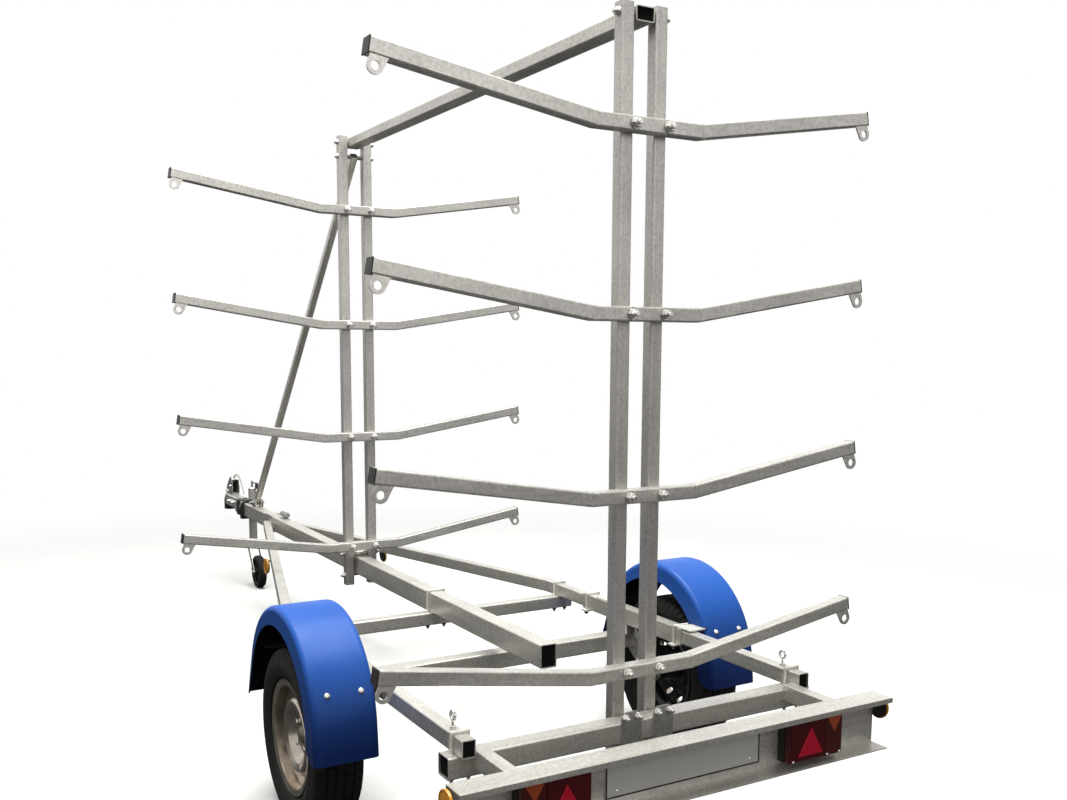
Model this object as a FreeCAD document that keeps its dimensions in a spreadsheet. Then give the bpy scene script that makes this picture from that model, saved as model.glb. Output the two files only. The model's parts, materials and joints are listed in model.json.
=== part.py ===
import FreeCAD, Part
import math
import os
import Sketcher
from FreeCAD import Placement, Rotation, Vector

# Canoe and kayak trailer. The floor is z = 0, the coupling points to -Y and the trailer's left is +X.
# Distances called "ahead" run forward from the rear faces of the rear rack arms.

DIMENSIONS = {
    "arm_station": 2163.5,
    "chassis_seat": 456,
    "beam_width": 60,
    "beam_height": 80,
    "beam_wall": 3,
    "beam_rear_ahead": 524,
    "beam_front_ahead": 4330,
    "rail_width": 40,
    "rail_height": 50,
    "rail_wall": 2.5,
    "rail_offset": 575,
    "rail_overhang": 45,
    "rail_bend_ahead": 1480,
    "rail_meet_ahead": 3580,
    "rail_trim_front": 80,
    "rail_trim_back": 200,
    "tie_plate": 6,
    "cross_depth": 50,
    "cross_height": 50,
    "cross_ahead": 1400,
    "rear_beam_depth": 60,
    "rear_beam_height": 60,
    "rear_beam_half": 622,
    "member_wall": 3,
    "corner_radius": 5,
    "wheel_ahead": 787,
    "wheel_outset": 116,
    "tyre_radius": 280,
    "tyre_width": 165,
    "tread_width": 132,
    "bead_radius": 166,
    "rim_flange_radius": 182,
    "rim_half_width": 70,
    "rim_wall": 4,
    "hub_face": 22,
    "spindle_radius": 17.5,
    "running_gap": 0.05,
    "axle_ahead": 930,
    "axle_size": 60,
    "axle_overhang": 9,
    "axle_bracket_length": 640,
    "axle_drop": 46,
    "axle_saddle_length": 110,
    "axle_bracket_wall": 4,
    "trailing_arm_width": 70,
    "trailing_arm_thick": 24,
    "guard_radius": 335,
    "guard_rise": 83,
    "guard_skirt": 60,
    "guard_foot_front": 370,
    "guard_front_rise": 24,
    "guard_front_lip": 24,
    "guard_foot_rear": 343,
    "guard_mouth_radius": 284,
    "guard_mouth_ahead": 24,
    "guard_mouth_drop": 14,
    "guard_corner": 48,
    "guard_width": 200,
    "guard_wall": 3,
    "guard_edge_radius": 18,
    "guard_bar_width": 75,
    "guard_bar_thick": 5,
    "clamp_plate_width": 68,
    "clamp_plate_thick": 5,
    "clamp_plate_rise": 30,
    "mast_spacing": 2170,
    "post_size": 40,
    "post_wall": 3,
    "post_washer": 5,
    "mast_head": 321,
    "post_drop": 50,
    "arm_size": 40,
    "arm_wall": 2.5,
    "arm_half_span": 800,
    "arm_bend": 174,
    "arm_rise": 100,
    "first_tier": 590,
    "tier_pitch": 500,
    "cap_lip": 4,
    "cap_plug": 22,
    "eye_inset": 19,
    "eye_radius": 21,
    "eye_bore": 11,
    "eye_drop": 24,
    "eye_root": 50,
    "eye_plate": 5,
    "ridge_width": 60,
    "ridge_height": 40,
    "ridge_wall": 2.5,
    "ridge_below_top": 6,
    "brace_size": 30,
    "brace_wall": 2,
    "brace_foot_ahead": -385,
    "brace_foot_rise": 22,
    "brace_head_drop": 52,
    "rod_radius": 5,
    "strap_plate": 6,
    "strap_length": 84,
    "strap_inset": 34,
    "eye_bolt_ahead": 50,
    "eye_bolt_rise": 36,
    "eye_bolt_ring": 12,
    "eye_bolt_wire": 4,
    "light_bar_half": 712,
    "light_bar_gap": 175,
    "light_bar_depth": 78,
    "light_bar_height": 160,
    "light_bar_rise": 17,
    "light_bar_wall": 3,
    "light_bar_lip": 15,
    "stub_offset": 535,
    "stub_width": 40,
    "stub_height": 50,
    "lamp_inner": 332,
    "lamp_length": 203,
    "lamp_height": 132,
    "lamp_depth": 52,
    "plate_length": 520,
    "plate_height": 110,
    "plate_thick": 3,
    "lamp_base": 26,
    "lamp_outer_lens": 70,
    "reflector_side": 92,
    "marker_radius": 38,
    "marker_thick": 9,
    "marker_ahead": 2700,
    "marker_height": 430,
    "marker_tab": 4,
    "coupling_ahead": 232,
    "coupling_head_radius": 38,
    "coupling_shell_front": 12,
    "coupling_shell_lap": 52,
    "coupling_crown": 12,
    "coupling_drop": 30,
    "coupling_lip": 22,
    "handle_length": 114,
    "ball_radius": 25.2,
    "coupling_skirt": 56,
    "coupling_wall": 5,
    "handle_width": 46,
    "handle_wall": 4,
    "jockey_ahead": -88,
    "jockey_side": 56,
    "jockey_tube_radius": 24,
    "jockey_tube_wall": 2.5,
    "jockey_tube_low": 250,
    "jockey_tube_high": 596,
    "clamp_band": 58,
    "clamp_drop": 34,
    "collar_radius": 58,
    "collar_thick": 26,
    "collar_gap": 100,
    "jockey_wheel_radius": 100,
    "jockey_wheel_width": 48,
    "jockey_trail": 110,
    "jockey_pin_radius": 6,
    "fork_gap": 6,
    "fork_plate": 4,
}

doc = FreeCAD.newDocument("KayakTrailer")
sheet = doc.addObject("Spreadsheet::Sheet", "Sizes")
for row, (alias, amount) in enumerate(DIMENSIONS.items(), start=1):
    sheet.set(f"A{row}", alias.replace("_", " "))
    sheet.set(f"B{row}", str(amount))
    sheet.setAlias(f"B{row}", alias)
doc.recompute()


class Size:
    """A length that keeps the spreadsheet expression it is worked out from."""

    def __init__(self, value, text):
        self.value = value
        self.text = text

    def join(self, other, sign, value):
        return Size(value, f"({self.text} {sign} {other.text})")

    def __add__(self, other):
        other = as_size(other)
        return self.join(other, "+", self.value + other.value)

    def __sub__(self, other):
        other = as_size(other)
        return self.join(other, "-", self.value - other.value)

    def __mul__(self, other):
        other = as_size(other)
        return self.join(other, "*", self.value * other.value)

    def __truediv__(self, other):
        other = as_size(other)
        return self.join(other, "/", self.value / other.value)

    def __radd__(self, other):
        return as_size(other) + self

    def __rsub__(self, other):
        return as_size(other) - self

    def __rmul__(self, other):
        return as_size(other) * self

    def __neg__(self):
        return Size(-self.value, f"(-1 * {self.text})")


def as_size(amount):
    return amount if isinstance(amount, Size) else Size(float(amount), repr(amount))


def size(alias):
    return Size(float(sheet.get(alias)), f"Sizes.{alias}")


def ahead(distance):
    """The y coordinate of a point that lies a distance ahead of the rear arms."""
    return size("arm_station") - distance


def ahead_of_beam(distance):
    """The y coordinate of a point that lies a distance ahead of the beam's front end."""
    return ahead(size("beam_front_ahead") + distance)


def bind(item, name, amount):
    amount = as_size(amount)
    if not name.startswith("."):
        setattr(item, name, amount.value)
    item.setExpression(name, amount.text)


def place(item, x=0, y=0, z=0, turn=None):
    base = [as_size(amount) for amount in (x, y, z)]
    item.Placement = Placement(Vector(*[amount.value for amount in base]), turn or Rotation())
    for axis, amount in zip("xyz", base):
        item.setExpression(f".Placement.Base.{axis}", amount.text)
    return item


def new_body(label):
    item = doc.addObject("PartDesign::Body", label)
    item.Label = label
    return item


def origin_feature(body, role):
    return next(item for item in body.Origin.OriginFeatures if item.Role == role)


def new_sketch(body, plane, name):
    sketch = body.newObject("Sketcher::SketchObject", name)
    sketch.AttachmentSupport = (origin_feature(body, plane), [""])
    sketch.MapMode = "FlatFace"
    return sketch


def constrain(sketch, kind, *args):
    """Adds a constraint whose last argument may be a Size, which then drives it."""
    amount = args[-1]
    if not isinstance(amount, Size):
        return sketch.addConstraint(Sketcher.Constraint(kind, *args))
    index = sketch.addConstraint(Sketcher.Constraint(kind, *args[:-1], amount.value))
    sketch.setExpression(f"Constraints[{index}]", amount.text)
    return index


def pin(sketch, geometry, point, x, y):
    constrain(sketch, "DistanceX", -1, 1, geometry, point, as_size(x))
    constrain(sketch, "DistanceY", -1, 1, geometry, point, as_size(y))


def polygon(sketch, corners):
    """Draws a closed outline whose corners are each held by their two coordinates."""
    spots = [(as_size(x), as_size(y)) for x, y in corners]
    points = [Vector(x.value, y.value, 0) for x, y in spots]
    first = sketch.GeometryCount
    count = len(points)
    for index in range(count):
        sketch.addGeometry(Part.LineSegment(points[index], points[(index + 1) % count]))
    for index in range(count):
        following = first + (index + 1) % count
        constrain(sketch, "Coincident", first + index, 2, following, 1)
        pin(sketch, first + index, 1, *spots[index])
    return first


def circle(sketch, x, y, radius):
    x, y, radius = as_size(x), as_size(y), as_size(radius)
    spot = Vector(x.value, y.value, 0)
    index = sketch.addGeometry(Part.Circle(spot, Vector(0, 0, 1), radius.value))
    pin(sketch, index, 3, x, y)
    constrain(sketch, "Radius", index, radius)
    return index


def side_line(points, distance):
    """Points of a chain moved sideways by a distance, mitred at its bends."""
    heads = [(b - a).normalize() for a, b in zip(points, points[1:])]
    normals = [Vector(-head.y, head.x, 0) for head in heads]
    moved = [points[0] + normals[0] * distance]
    for point, before, after in zip(points[1:], normals, normals[1:]):
        split = (before + after).normalize()
        moved.append(point + split * (distance / split.dot(before)))
    moved.append(points[-1] + normals[-1] * distance)
    return moved


def strip(sketch, chain, half):
    """Outline of a bar of even width along a chain of straight centre lines."""
    half = as_size(half)
    spots = [(as_size(x), as_size(y)) for x, y in chain]
    points = [Vector(x.value, y.value, 0) for x, y in spots]
    runs = len(points) - 1
    centre = sketch.GeometryCount
    for start, end in zip(points, points[1:]):
        sketch.addGeometry(Part.LineSegment(start, end), True)
    for index in range(runs):
        pin(sketch, centre + index, 1, *spots[index])
        if index:
            constrain(sketch, "Coincident", centre + index - 1, 2, centre + index, 1)
    pin(sketch, centre + runs - 1, 2, *spots[-1])
    lower = side_line(points, -half.value)
    upper = side_line(points, half.value)
    ring = lower + upper[::-1]
    first = sketch.GeometryCount
    count = len(ring)
    for index in range(count):
        sketch.addGeometry(Part.LineSegment(ring[index], ring[(index + 1) % count]))
    for index in range(count):
        constrain(sketch, "Coincident", first + index, 2, first + (index + 1) % count, 1)
    for index in range(runs):
        for edge in (first + index, first + 2 * runs - index):
            constrain(sketch, "Parallel", centre + index, edge)
            constrain(sketch, "Distance", edge, 1, centre + index, half)
    for edge, run, end in ((first + count - 1, centre, 1), (first + runs, centre + runs - 1, 2)):
        constrain(sketch, "Perpendicular", run, edge)
        constrain(sketch, "PointOnObject", run, end, edge)


def pad(body, sketch, length, symmetric=True):
    feature = body.newObject("PartDesign::Pad", "Pad")
    feature.Profile = sketch
    feature.SideType = "Symmetric" if symmetric else "One side"
    bind(feature, "Length", length)
    doc.recompute()
    return feature


def pocket(body, sketch, length=None):
    """Cuts to both sides of the sketch, by a length or right through."""
    before = body.Shape.Volume
    feature = body.newObject("PartDesign::Pocket", "Pocket")
    feature.Profile = sketch
    feature.SideType = "Symmetric"
    if length is None:
        feature.Type = "ThroughAll"
    else:
        bind(feature, "Length", length)
    doc.recompute()
    if body.Shape.Volume >= before:
        raise RuntimeError(f"{body.Label}: a pocket cuts nothing")
    return feature


def fillet(body, base, radius, chosen):
    """Rounds the edges of a feature that the chooser accepts."""
    edges = [f"Edge{n}" for n, edge in enumerate(base.Shape.Edges, start=1) if chosen(edge)]
    feature = body.newObject("PartDesign::Fillet", "Fillet")
    feature.Base = (base, edges)
    bind(feature, "Radius", radius)
    doc.recompute()
    return feature


def revolve(body, sketch, role):
    feature = body.newObject("PartDesign::Revolution", "Revolution")
    feature.Profile = sketch
    feature.ReferenceAxis = (origin_feature(body, role), [""])
    feature.Angle = 360
    doc.recompute()
    return feature


def groove(body, sketch, role):
    before = body.Shape.Volume
    feature = body.newObject("PartDesign::Groove", "Groove")
    feature.Profile = sketch
    feature.ReferenceAxis = (origin_feature(body, role), [""])
    feature.Angle = 360
    doc.recompute()
    if body.Shape.Volume >= before:
        raise RuntimeError(f"{body.Label}: a groove cuts nothing")
    return feature


def polar(body, feature, role, copies):
    pattern = body.newObject("PartDesign::PolarPattern", "PolarPattern")
    pattern.Originals = [feature]
    pattern.Axis = (origin_feature(body, role), [""])
    pattern.Angle = 360
    pattern.Occurrences = copies
    body.Tip = pattern
    doc.recompute()
    return pattern


def tube(label, plane, chain, width, depth, wall, corner=None, holes=()):
    """A rectangular tube that follows a chain drawn in a plane: width in the plane, depth across it."""
    body = new_body(label)
    outline = new_sketch(body, plane, "Outline")
    strip(outline, chain, width / 2)
    solid = pad(body, outline, depth)
    longest = 2.5 * max(width.value, depth.value)
    rounded = size("corner_radius") if corner is None else corner
    fillet(body, solid, rounded, lambda edge: edge.Length > longest)
    hollow = new_sketch(body, plane, "Hollow")
    strip(hollow, chain, width / 2 - wall)
    pocket(body, hollow, depth - 2 * wall)
    if holes:
        bores = new_sketch(body, plane, "Bores")
        for x, y, radius in holes:
            circle(bores, x, y, radius)
        pocket(body, bores)
    return body


def compound(label, items):
    node = doc.addObject("Part::Compound", label)
    node.Label = label
    node.Links = items
    return node


def bar(label, x, y, z, length, width, height, turn=None):
    """A plain block with its low corner at x, y, z."""
    item = doc.addObject("Part::Box", label)
    bind(item, "Length", length)
    bind(item, "Width", width)
    bind(item, "Height", height)
    return place(item, x, y, z, turn)


def rod(label, x, y, z, radius, length, axis="z"):
    turns = {"x": Rotation(Vector(0, 1, 0), 90), "y": Rotation(Vector(1, 0, 0), -90), "z": Rotation()}
    item = doc.addObject("Part::Cylinder", label)
    bind(item, "Radius", radius)
    bind(item, "Height", length)
    return place(item, x, y, z, turns[axis])


def fuse(label, items):
    node = doc.addObject("Part::MultiFuse", label)
    node.Label = label
    node.Shapes = items
    return node


def cut(label, base, tool):
    node = doc.addObject("Part::Cut", label)
    node.Label = label
    node.Base = base
    node.Tool = tool
    return node


NODES = []


def keep(item):
    NODES.append(item)
    return item


SIDES = (("left", 1), ("right", -1))

# Values that several pieces share
seat = size("chassis_seat")
beam_top = seat + size("beam_height")
rail_top = seat + size("rail_height")
beam_half = size("beam_width") / 2
rail_half = size("rail_width") / 2
rail_offset = size("rail_offset")
axle_half = rail_offset + rail_half + size("axle_overhang")
wheel_offset = axle_half + size("wheel_outset")
rod_radius = size("rod_radius")
post_offset = beam_half + size("post_washer") + size("post_size") / 2
arm_size = size("arm_size")
rear_beam_ahead = arm_size - size("rear_beam_depth") / 2
rear_beam_back = arm_size - size("rear_beam_depth")
clearance_hole = rod_radius + 0.5

# Main beam
beam_middle = (size("beam_rear_ahead") + size("beam_front_ahead")) / 2
keep(place(tube("main_beam", "YZ_Plane",
                [(ahead(size("beam_front_ahead")), 0), (ahead(size("beam_rear_ahead")), 0)],
                size("beam_height"), size("beam_width"), size("beam_wall")),
           0, 0, seat + size("beam_height") / 2))

# Side rails, parallel at the rear and bent in to butt against the plates on the beam's flanks
tie_face = beam_half + size("tie_plate")
meet = size("rail_meet_ahead")
rail_end = tie_face + 8
trim_front = size("rail_trim_front")
trim_back = size("rail_trim_back")
rail_slope = (rail_offset - rail_end) / (meet - size("rail_bend_ahead"))
for name, side in SIDES:
    chain = [(side * rail_offset, ahead(-1 * size("rail_overhang"))),
             (side * rail_offset, ahead(size("rail_bend_ahead"))), (side * rail_end, ahead(meet))]
    rail = tube(f"side_rail_{name}", "XY_Plane", chain, size("rail_width"), size("rail_height"),
                size("rail_wall"))
    trim = new_sketch(rail, "XY_Plane", "Trim")
    polygon(trim, [(-1 * tie_face, ahead(meet + trim_front)), (tie_face, ahead(meet + trim_front)),
                   (tie_face, ahead(meet - trim_back)), (-1 * tie_face, ahead(meet - trim_back))])
    pocket(rail, trim)
    keep(place(rail, 0, 0, seat + size("rail_height") / 2))

# Cross members under the beam and the rails, drilled for the U-bolts
rail_legs = [side * (rail_offset + across * (rail_half + rod_radius))
             for side in (1, -1) for across in (1, -1)]
beam_legs = [side * (beam_half + rod_radius) for side in (1, -1)]
cross_holes = [(x, ahead(size("cross_ahead")), clearance_hole) for x in rail_legs + beam_legs]
cross_half = rail_offset + rail_half + 25
cross = tube("front_cross_member", "XY_Plane",
             [(-1 * cross_half, ahead(size("cross_ahead"))), (cross_half, ahead(size("cross_ahead")))],
             size("cross_depth"), size("cross_height"), size("member_wall"), holes=cross_holes)
keep(place(cross, 0, 0, seat - size("cross_height") / 2))
rear_holes = [(x, ahead(rear_beam_ahead), clearance_hole) for x in rail_legs]
rear_half = size("rear_beam_half")
rear = tube("rear_cross_beam", "XY_Plane",
            [(-1 * rear_half, ahead(rear_beam_ahead)), (rear_half, ahead(rear_beam_ahead))],
            size("rear_beam_depth"), size("rear_beam_height"), size("member_wall"), holes=rear_holes)
keep(place(rear, 0, 0, seat - size("rear_beam_height") / 2))

# Plates that tie the bent rails to the beam
tie = size("tie_plate")
plate_parts = [bar(f"tie_{name}", side * (beam_half + tie / 2) - tie / 2, ahead(meet + 50), seat - tie, tie,
                   120, size("beam_height") + 2 * tie) for name, side in SIDES]
plate_parts.append(bar("tie_floor", -1 * tie_face, ahead(meet + 50), seat - tie, 2 * tie_face, 120, tie))
keep(fuse("drawbar_bracket", plate_parts))

# Axle tube below two channels that wrap the rails
axle_y = ahead(size("axle_ahead"))
axle_z = seat - size("axle_drop") - size("axle_size") / 2
keep(place(tube("axle_tube", "XY_Plane", [(-1 * axle_half, axle_y), (axle_half, axle_y)],
                size("axle_size"), size("axle_size"), size("axle_bracket_wall")), 0, 0, axle_z))


def axle_channel(name, side):
    """A channel that holds a rail between its flanges and opens outwards, with a saddle for the axle."""
    body = new_body(f"axle_channel_{name}")
    outline = new_sketch(body, "XZ_Plane", "Section")
    wall = size("axle_bracket_wall")
    inner = side * (rail_offset - rail_half)
    web = inner - side * wall
    lip = side * (rail_offset + rail_half + wall)
    low = seat - wall
    high = rail_top + wall
    polygon(outline, [(web, low), (lip, low), (lip, seat), (inner, seat), (inner, rail_top), (lip, rail_top),
                      (lip, high), (web, high)])
    pad(body, outline, size("axle_bracket_length"))
    place(body, 0, ahead((size("axle_ahead") + size("wheel_ahead")) / 2), 0)
    reach = size("axle_saddle_length") / 2
    width = size("rail_width") - 4
    plates = [bar(f"axle_saddle_{name}_{spot}", side * rail_offset - width / 2,
                  axle_y + along * (reach - wall / 2) - wall / 2, seat - size("axle_drop"), width, wall,
                  size("axle_drop") - wall / 2) for spot, along in (("front", -1), ("rear", 1))]
    cheek = bar(f"axle_cheek_{name}", side * (rail_offset - width / 2 + wall / 2) - wall / 2, axle_y - reach,
                seat - size("axle_drop"), wall, 2 * reach, size("axle_drop") - wall / 2)
    return fuse(f"axle_bracket_{name}", [body, cheek] + plates)


keep(compound("axle_brackets", [axle_channel(name, side) for name, side in SIDES]))

# Trailing arms with the stub spindles that carry the wheels
spindle_end = wheel_offset + size("hub_face") + 4


def trailing_arm(name, side):
    body = new_body(f"arm_blade_{name}")
    outline = new_sketch(body, "YZ_Plane", "Outline")
    half = size("trailing_arm_width") / 2
    strip(outline, [(axle_y, axle_z), (ahead(size("wheel_ahead")), size("tyre_radius"))], half)
    solid = pad(body, outline, size("trailing_arm_thick"))
    place(body, side * (axle_half + size("trailing_arm_thick") / 2), 0, 0)
    near = axle_half if side > 0 else -1 * spindle_end
    eye = rod(f"arm_eye_{name}", side * axle_half - (0 if side > 0 else size("trailing_arm_thick")),
              axle_y, axle_z, half, size("trailing_arm_thick"), "x")
    boss = rod(f"arm_boss_{name}", side * axle_half - (0 if side > 0 else size("trailing_arm_thick")),
               ahead(size("wheel_ahead")), size("tyre_radius"), half, size("trailing_arm_thick"), "x")
    spindle = rod(f"spindle_{name}", near, ahead(size("wheel_ahead")), size("tyre_radius"),
                  size("spindle_radius"), spindle_end - axle_half, "x")
    return fuse(f"torsion_arm_{name}", [body, eye, boss, spindle])


for name, side in SIDES:
    keep(trailing_arm(name, side))

# Tyre, rim and hub. The sketches run along X, the wheel's own axis, with the outer face towards +X.


def tyre(name, side):
    body = new_body(f"tyre_{name}")
    profile = new_sketch(body, "XY_Plane", "Profile")
    half = size("tyre_width") / 2
    tread = size("tread_width") / 2
    bead = size("rim_half_width") - 10
    low = size("bead_radius")
    flange = size("rim_flange_radius") + 2
    top = size("tyre_radius")
    middle = low + (top - low) * 0.5
    polygon(profile, [(-1 * bead, low), (-1 * (bead + 2.5), flange), (-1 * half, middle),
                      (-1 * (half - 3), top - 26), (-1 * tread, top), (tread, top), (half - 3, top - 26),
                      (half, middle), (bead + 2.5, flange), (bead, low),
                      (bead - 12, low), (half - 12, middle), (tread - 8, top - 14),
                      (-1 * (tread - 8), top - 14), (-1 * (half - 12), middle), (-1 * (bead - 12), low)])
    solid = revolve(body, profile, "X_Axis")
    shoulder = top.value
    fillet(body, solid, 11, lambda edge: edge.BoundBox.YMax > shoulder - 1)
    return place(body, side * wheel_offset, ahead(size("wheel_ahead")), size("tyre_radius"))


def rim(name, side):
    body = new_body(f"rim_{name}")
    profile = new_sketch(body, "XY_Plane", "Barrel")
    wide = size("rim_half_width")
    flange = size("rim_flange_radius")
    bed = size("bead_radius")
    wall = size("rim_wall")
    well = bed - 18
    polygon(profile, [(wide, flange), (wide - 6, flange), (wide - 9, bed), (wide - 36, bed - 1),
                      (wide - 46, well), (-1 * (wide - 46), well), (-1 * (wide - 36), bed - 1),
                      (-1 * (wide - 9), bed), (-1 * (wide - 6), flange), (-1 * wide, flange),
                      (-1 * (wide - 4), bed - wall), (-1 * (wide - 38), bed - 1 - wall),
                      (-1 * (wide - 48), well - wall), (wide - 48, well - wall),
                      (wide - 38, bed - 1 - wall), (wide - 4, bed - wall)])
    revolve(body, profile, "X_Axis")
    disc = new_sketch(body, "XY_Plane", "Disc")
    face = side * size("hub_face")
    crown = side * (size("hub_face") + 31)
    inner = well - wall + 1
    shoulder = crown - side * 6
    back = side * wall
    polygon(disc, [(face, 30), (face, 62), (shoulder, 87), (crown, 101), (crown, 111), (shoulder, 119),
                   (side * 16, inner), (side * 11, inner), (shoulder - back, 116), (crown - back, 109),
                   (crown - back, 102), (shoulder - back, 90), (face - back, 65), (face - back, 30)])
    revolve(body, disc, "X_Axis")
    slot = new_sketch(body, "YZ_Plane", "Slot")
    circle(slot, 0, 131, 10.5)
    vent = pocket(body, slot)
    polar(body, vent, "X_Axis", 12)
    return place(body, side * wheel_offset, ahead(size("wheel_ahead")), size("tyre_radius"))


def hub(name, side):
    body = new_body(f"hub_{name}")
    profile = new_sketch(body, "XY_Plane", "Profile")
    bore = size("spindle_radius") + size("running_gap")
    face = size("hub_face") - size("rim_wall")
    inner = axle_half + size("trailing_arm_thick") + 6 - wheel_offset
    cap = size("hub_face") + 12
    polygon(profile, [(side * inner, bore), (side * inner, 36), (side * (face - 9), 36),
                      (side * (face - 9), 64), (side * face, 64), (side * face, 28),
                      (side * (cap - 5), 28), (side * cap, 21), (side * cap, 0), (side * (cap - 3), 0),
                      (side * (cap - 5), bore)])
    revolve(body, profile, "X_Axis")
    return place(body, side * wheel_offset, ahead(size("wheel_ahead")), size("tyre_radius"))


for name, side in SIDES:
    keep(tyre(name, side))
    keep(rim(name, side))
    keep(hub(name, side))

# Mudguards: an arch whose skirts run on from it, with lips turned down both edges
guard_z = size("tyre_radius") + size("guard_rise")
guard_low = guard_z - size("guard_skirt")


def touch(radius, reach, low):
    """Angle at which a line from a foot that lies a reach out and at a low height touches a circle."""
    return math.atan2(low.value, reach.value) + math.acos(radius.value / math.hypot(reach.value, low.value))


def arch(sketch, trim, low):
    """A horseshoe outline around the sketch's origin, thinned all round by a trim; the front points to -X."""
    def spot(x, y):
        return Vector(x.value, y.value, 0)

    def around(centre, radius, angle):
        return Vector(centre.x + radius.value * math.cos(angle), centre.y + radius.value * math.sin(angle), 0)
    up = Vector(0, 0, 1)
    outer = size("guard_radius") - trim
    mouth = size("guard_mouth_radius") - 6 * trim
    mouth_x = -1 * size("guard_mouth_ahead")
    mouth_y = -1 * size("guard_mouth_drop")
    mouth_centre = spot(mouth_x, mouth_y)
    rear = size("guard_foot_rear") - trim
    front = size("guard_foot_front") - trim
    front_low = low + size("guard_front_rise")
    mouth_foot = front - size("guard_front_lip") - 6 * trim
    rear_angle = touch(outer, rear, low)
    front_angle = math.pi - touch(outer, front, front_low)
    mouth_angle = math.pi - touch(mouth, mouth_foot + mouth_x, front_low - mouth_y)
    rear_spot = around(Vector(), outer, rear_angle)
    front_spot = around(Vector(), outer, front_angle)
    mouth_spot = around(mouth_centre, mouth, mouth_angle)
    sketch.addGeometry(Part.LineSegment(spot(rear, low), rear_spot))
    sketch.addGeometry(Part.ArcOfCircle(Part.Circle(Vector(), up, outer.value), rear_angle, front_angle))
    sketch.addGeometry(Part.LineSegment(front_spot, spot(-front, front_low)))
    sketch.addGeometry(Part.LineSegment(spot(-front, front_low), spot(-mouth_foot, front_low)))
    sketch.addGeometry(Part.LineSegment(spot(-mouth_foot, front_low), mouth_spot))
    sketch.addGeometry(Part.ArcOfCircle(Part.Circle(mouth_centre, up, mouth.value), 0, mouth_angle))
    sketch.addGeometry(Part.LineSegment(spot(mouth_x + mouth, mouth_y), spot(mouth_x + mouth, low)))
    sketch.addGeometry(Part.LineSegment(spot(mouth_x + mouth, low), spot(rear, low)))
    constrain(sketch, "Coincident", 1, 3, -1, 1)
    constrain(sketch, "Radius", 1, outer)
    pin(sketch, 5, 3, mouth_x, mouth_y)
    constrain(sketch, "Radius", 5, mouth)
    constrain(sketch, "Tangent", 0, 2, 1, 1)
    constrain(sketch, "Tangent", 1, 2, 2, 1)
    constrain(sketch, "Tangent", 4, 2, 5, 2)
    constrain(sketch, "Tangent", 5, 1, 6, 1)
    for here, there in ((2, 3), (3, 4), (6, 7), (7, 0)):
        constrain(sketch, "Coincident", here, 2, there, 1)
    constrain(sketch, "Vertical", 6)
    constrain(sketch, "Horizontal", 7)
    pin(sketch, 0, 1, rear, low)
    pin(sketch, 2, 2, -front, front_low)
    pin(sketch, 4, 1, -mouth_foot, front_low)


def guard_block(label, trim, skirt, rounding):
    """An arched block with its two outer edges rounded."""
    body = new_body(label)
    outline = new_sketch(body, "YZ_Plane", "Arch")
    arch(outline, trim, skirt)
    width = size("guard_width") - 2 * trim
    solid = pad(body, outline, width)
    half = width.value / 2
    if not trim.value:
        lowest = skirt.value + 0.1
        mouth = size("guard_mouth_radius").value

        def lip_corner(edge):
            box = edge.BoundBox
            return box.ZMax < lowest and box.XLength > 1 and box.YMin > 0 and box.YMax < mouth
        solid = fillet(body, solid, size("guard_corner"), lip_corner)
    mouth_reach = size("guard_mouth_radius").value
    rear_limit = mouth_reach - size("guard_mouth_ahead").value + size("guard_corner").value + 5
    top_limit = mouth_reach - size("guard_mouth_drop").value + 5
    front_limit = size("guard_front_lip").value - size("guard_foot_front").value - 2

    def outer_edge(edge):
        box = edge.BoundBox
        return (box.XLength < 0.01 and abs(abs(box.XMin) - half) < 0.01 and box.ZLength > 1
                and (box.YMax > rear_limit or box.ZMax > top_limit or box.YMin < front_limit))

    fillet(body, solid, rounding, outer_edge)
    return body


guard_inside = size("guard_radius") - size("guard_wall")
guard_reach = wheel_offset + 70


def guard_bar(label, low_x, length, end, extra):
    """A flat bar that lies on a rail and meets a mudguard's slope; extra makes it larger all round."""
    thick = size("guard_bar_thick")
    rest = rail_top + size("axle_bracket_wall")
    lift = rest + thick - guard_z
    spread = Size(math.sqrt(guard_inside.value ** 2 - lift.value ** 2),
                  f"sqrt({guard_inside.text}^2 - {lift.text}^2)")
    y_skin = ahead(size("wheel_ahead") + end * -1 * spread)
    wide = size("guard_bar_width")
    low_y = y_skin if end < 0 else y_skin - wide
    return bar(label, low_x, low_y - extra, rest - extra, length, wide + 2 * extra, thick + 2 * extra)


ENDS = (("rear", 1), ("front", -1))
bar_length = guard_reach - rail_offset + rail_half
guard_bars = [guard_bar(f"guard_bar_{name}_{spot}",
                        side * (guard_reach - bar_length / 2) - bar_length / 2, bar_length, end, 0)
              for name, side in SIDES for spot, end in ENDS]
keep(compound("guard_brackets", guard_bars))


def mudguard(name, side):
    wall = size("guard_wall")
    skirt = -1 * size("guard_skirt")
    centre = (side * wheel_offset, ahead(size("wheel_ahead")), guard_z)
    skin = guard_block(f"guard_skin_{name}", as_size(0), skirt, size("guard_edge_radius"))
    inside = guard_block(f"guard_inside_{name}", wall, skirt - 1, size("guard_edge_radius") - wall)
    lip_x = side * (wheel_offset - size("guard_width") / 2) - size("guard_edge_radius")
    notches = [guard_bar(f"notch_{name}_{spot}", lip_x, 2 * size("guard_edge_radius"), end, 2)
               for spot, end in ENDS]
    return cut(f"mudguard_{name}", place(skin, *centre), fuse(f"guard_hollow_{name}",
                                                              [place(inside, *centre)] + notches))


for name, side in SIDES:
    keep(mudguard(name, side))

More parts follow.
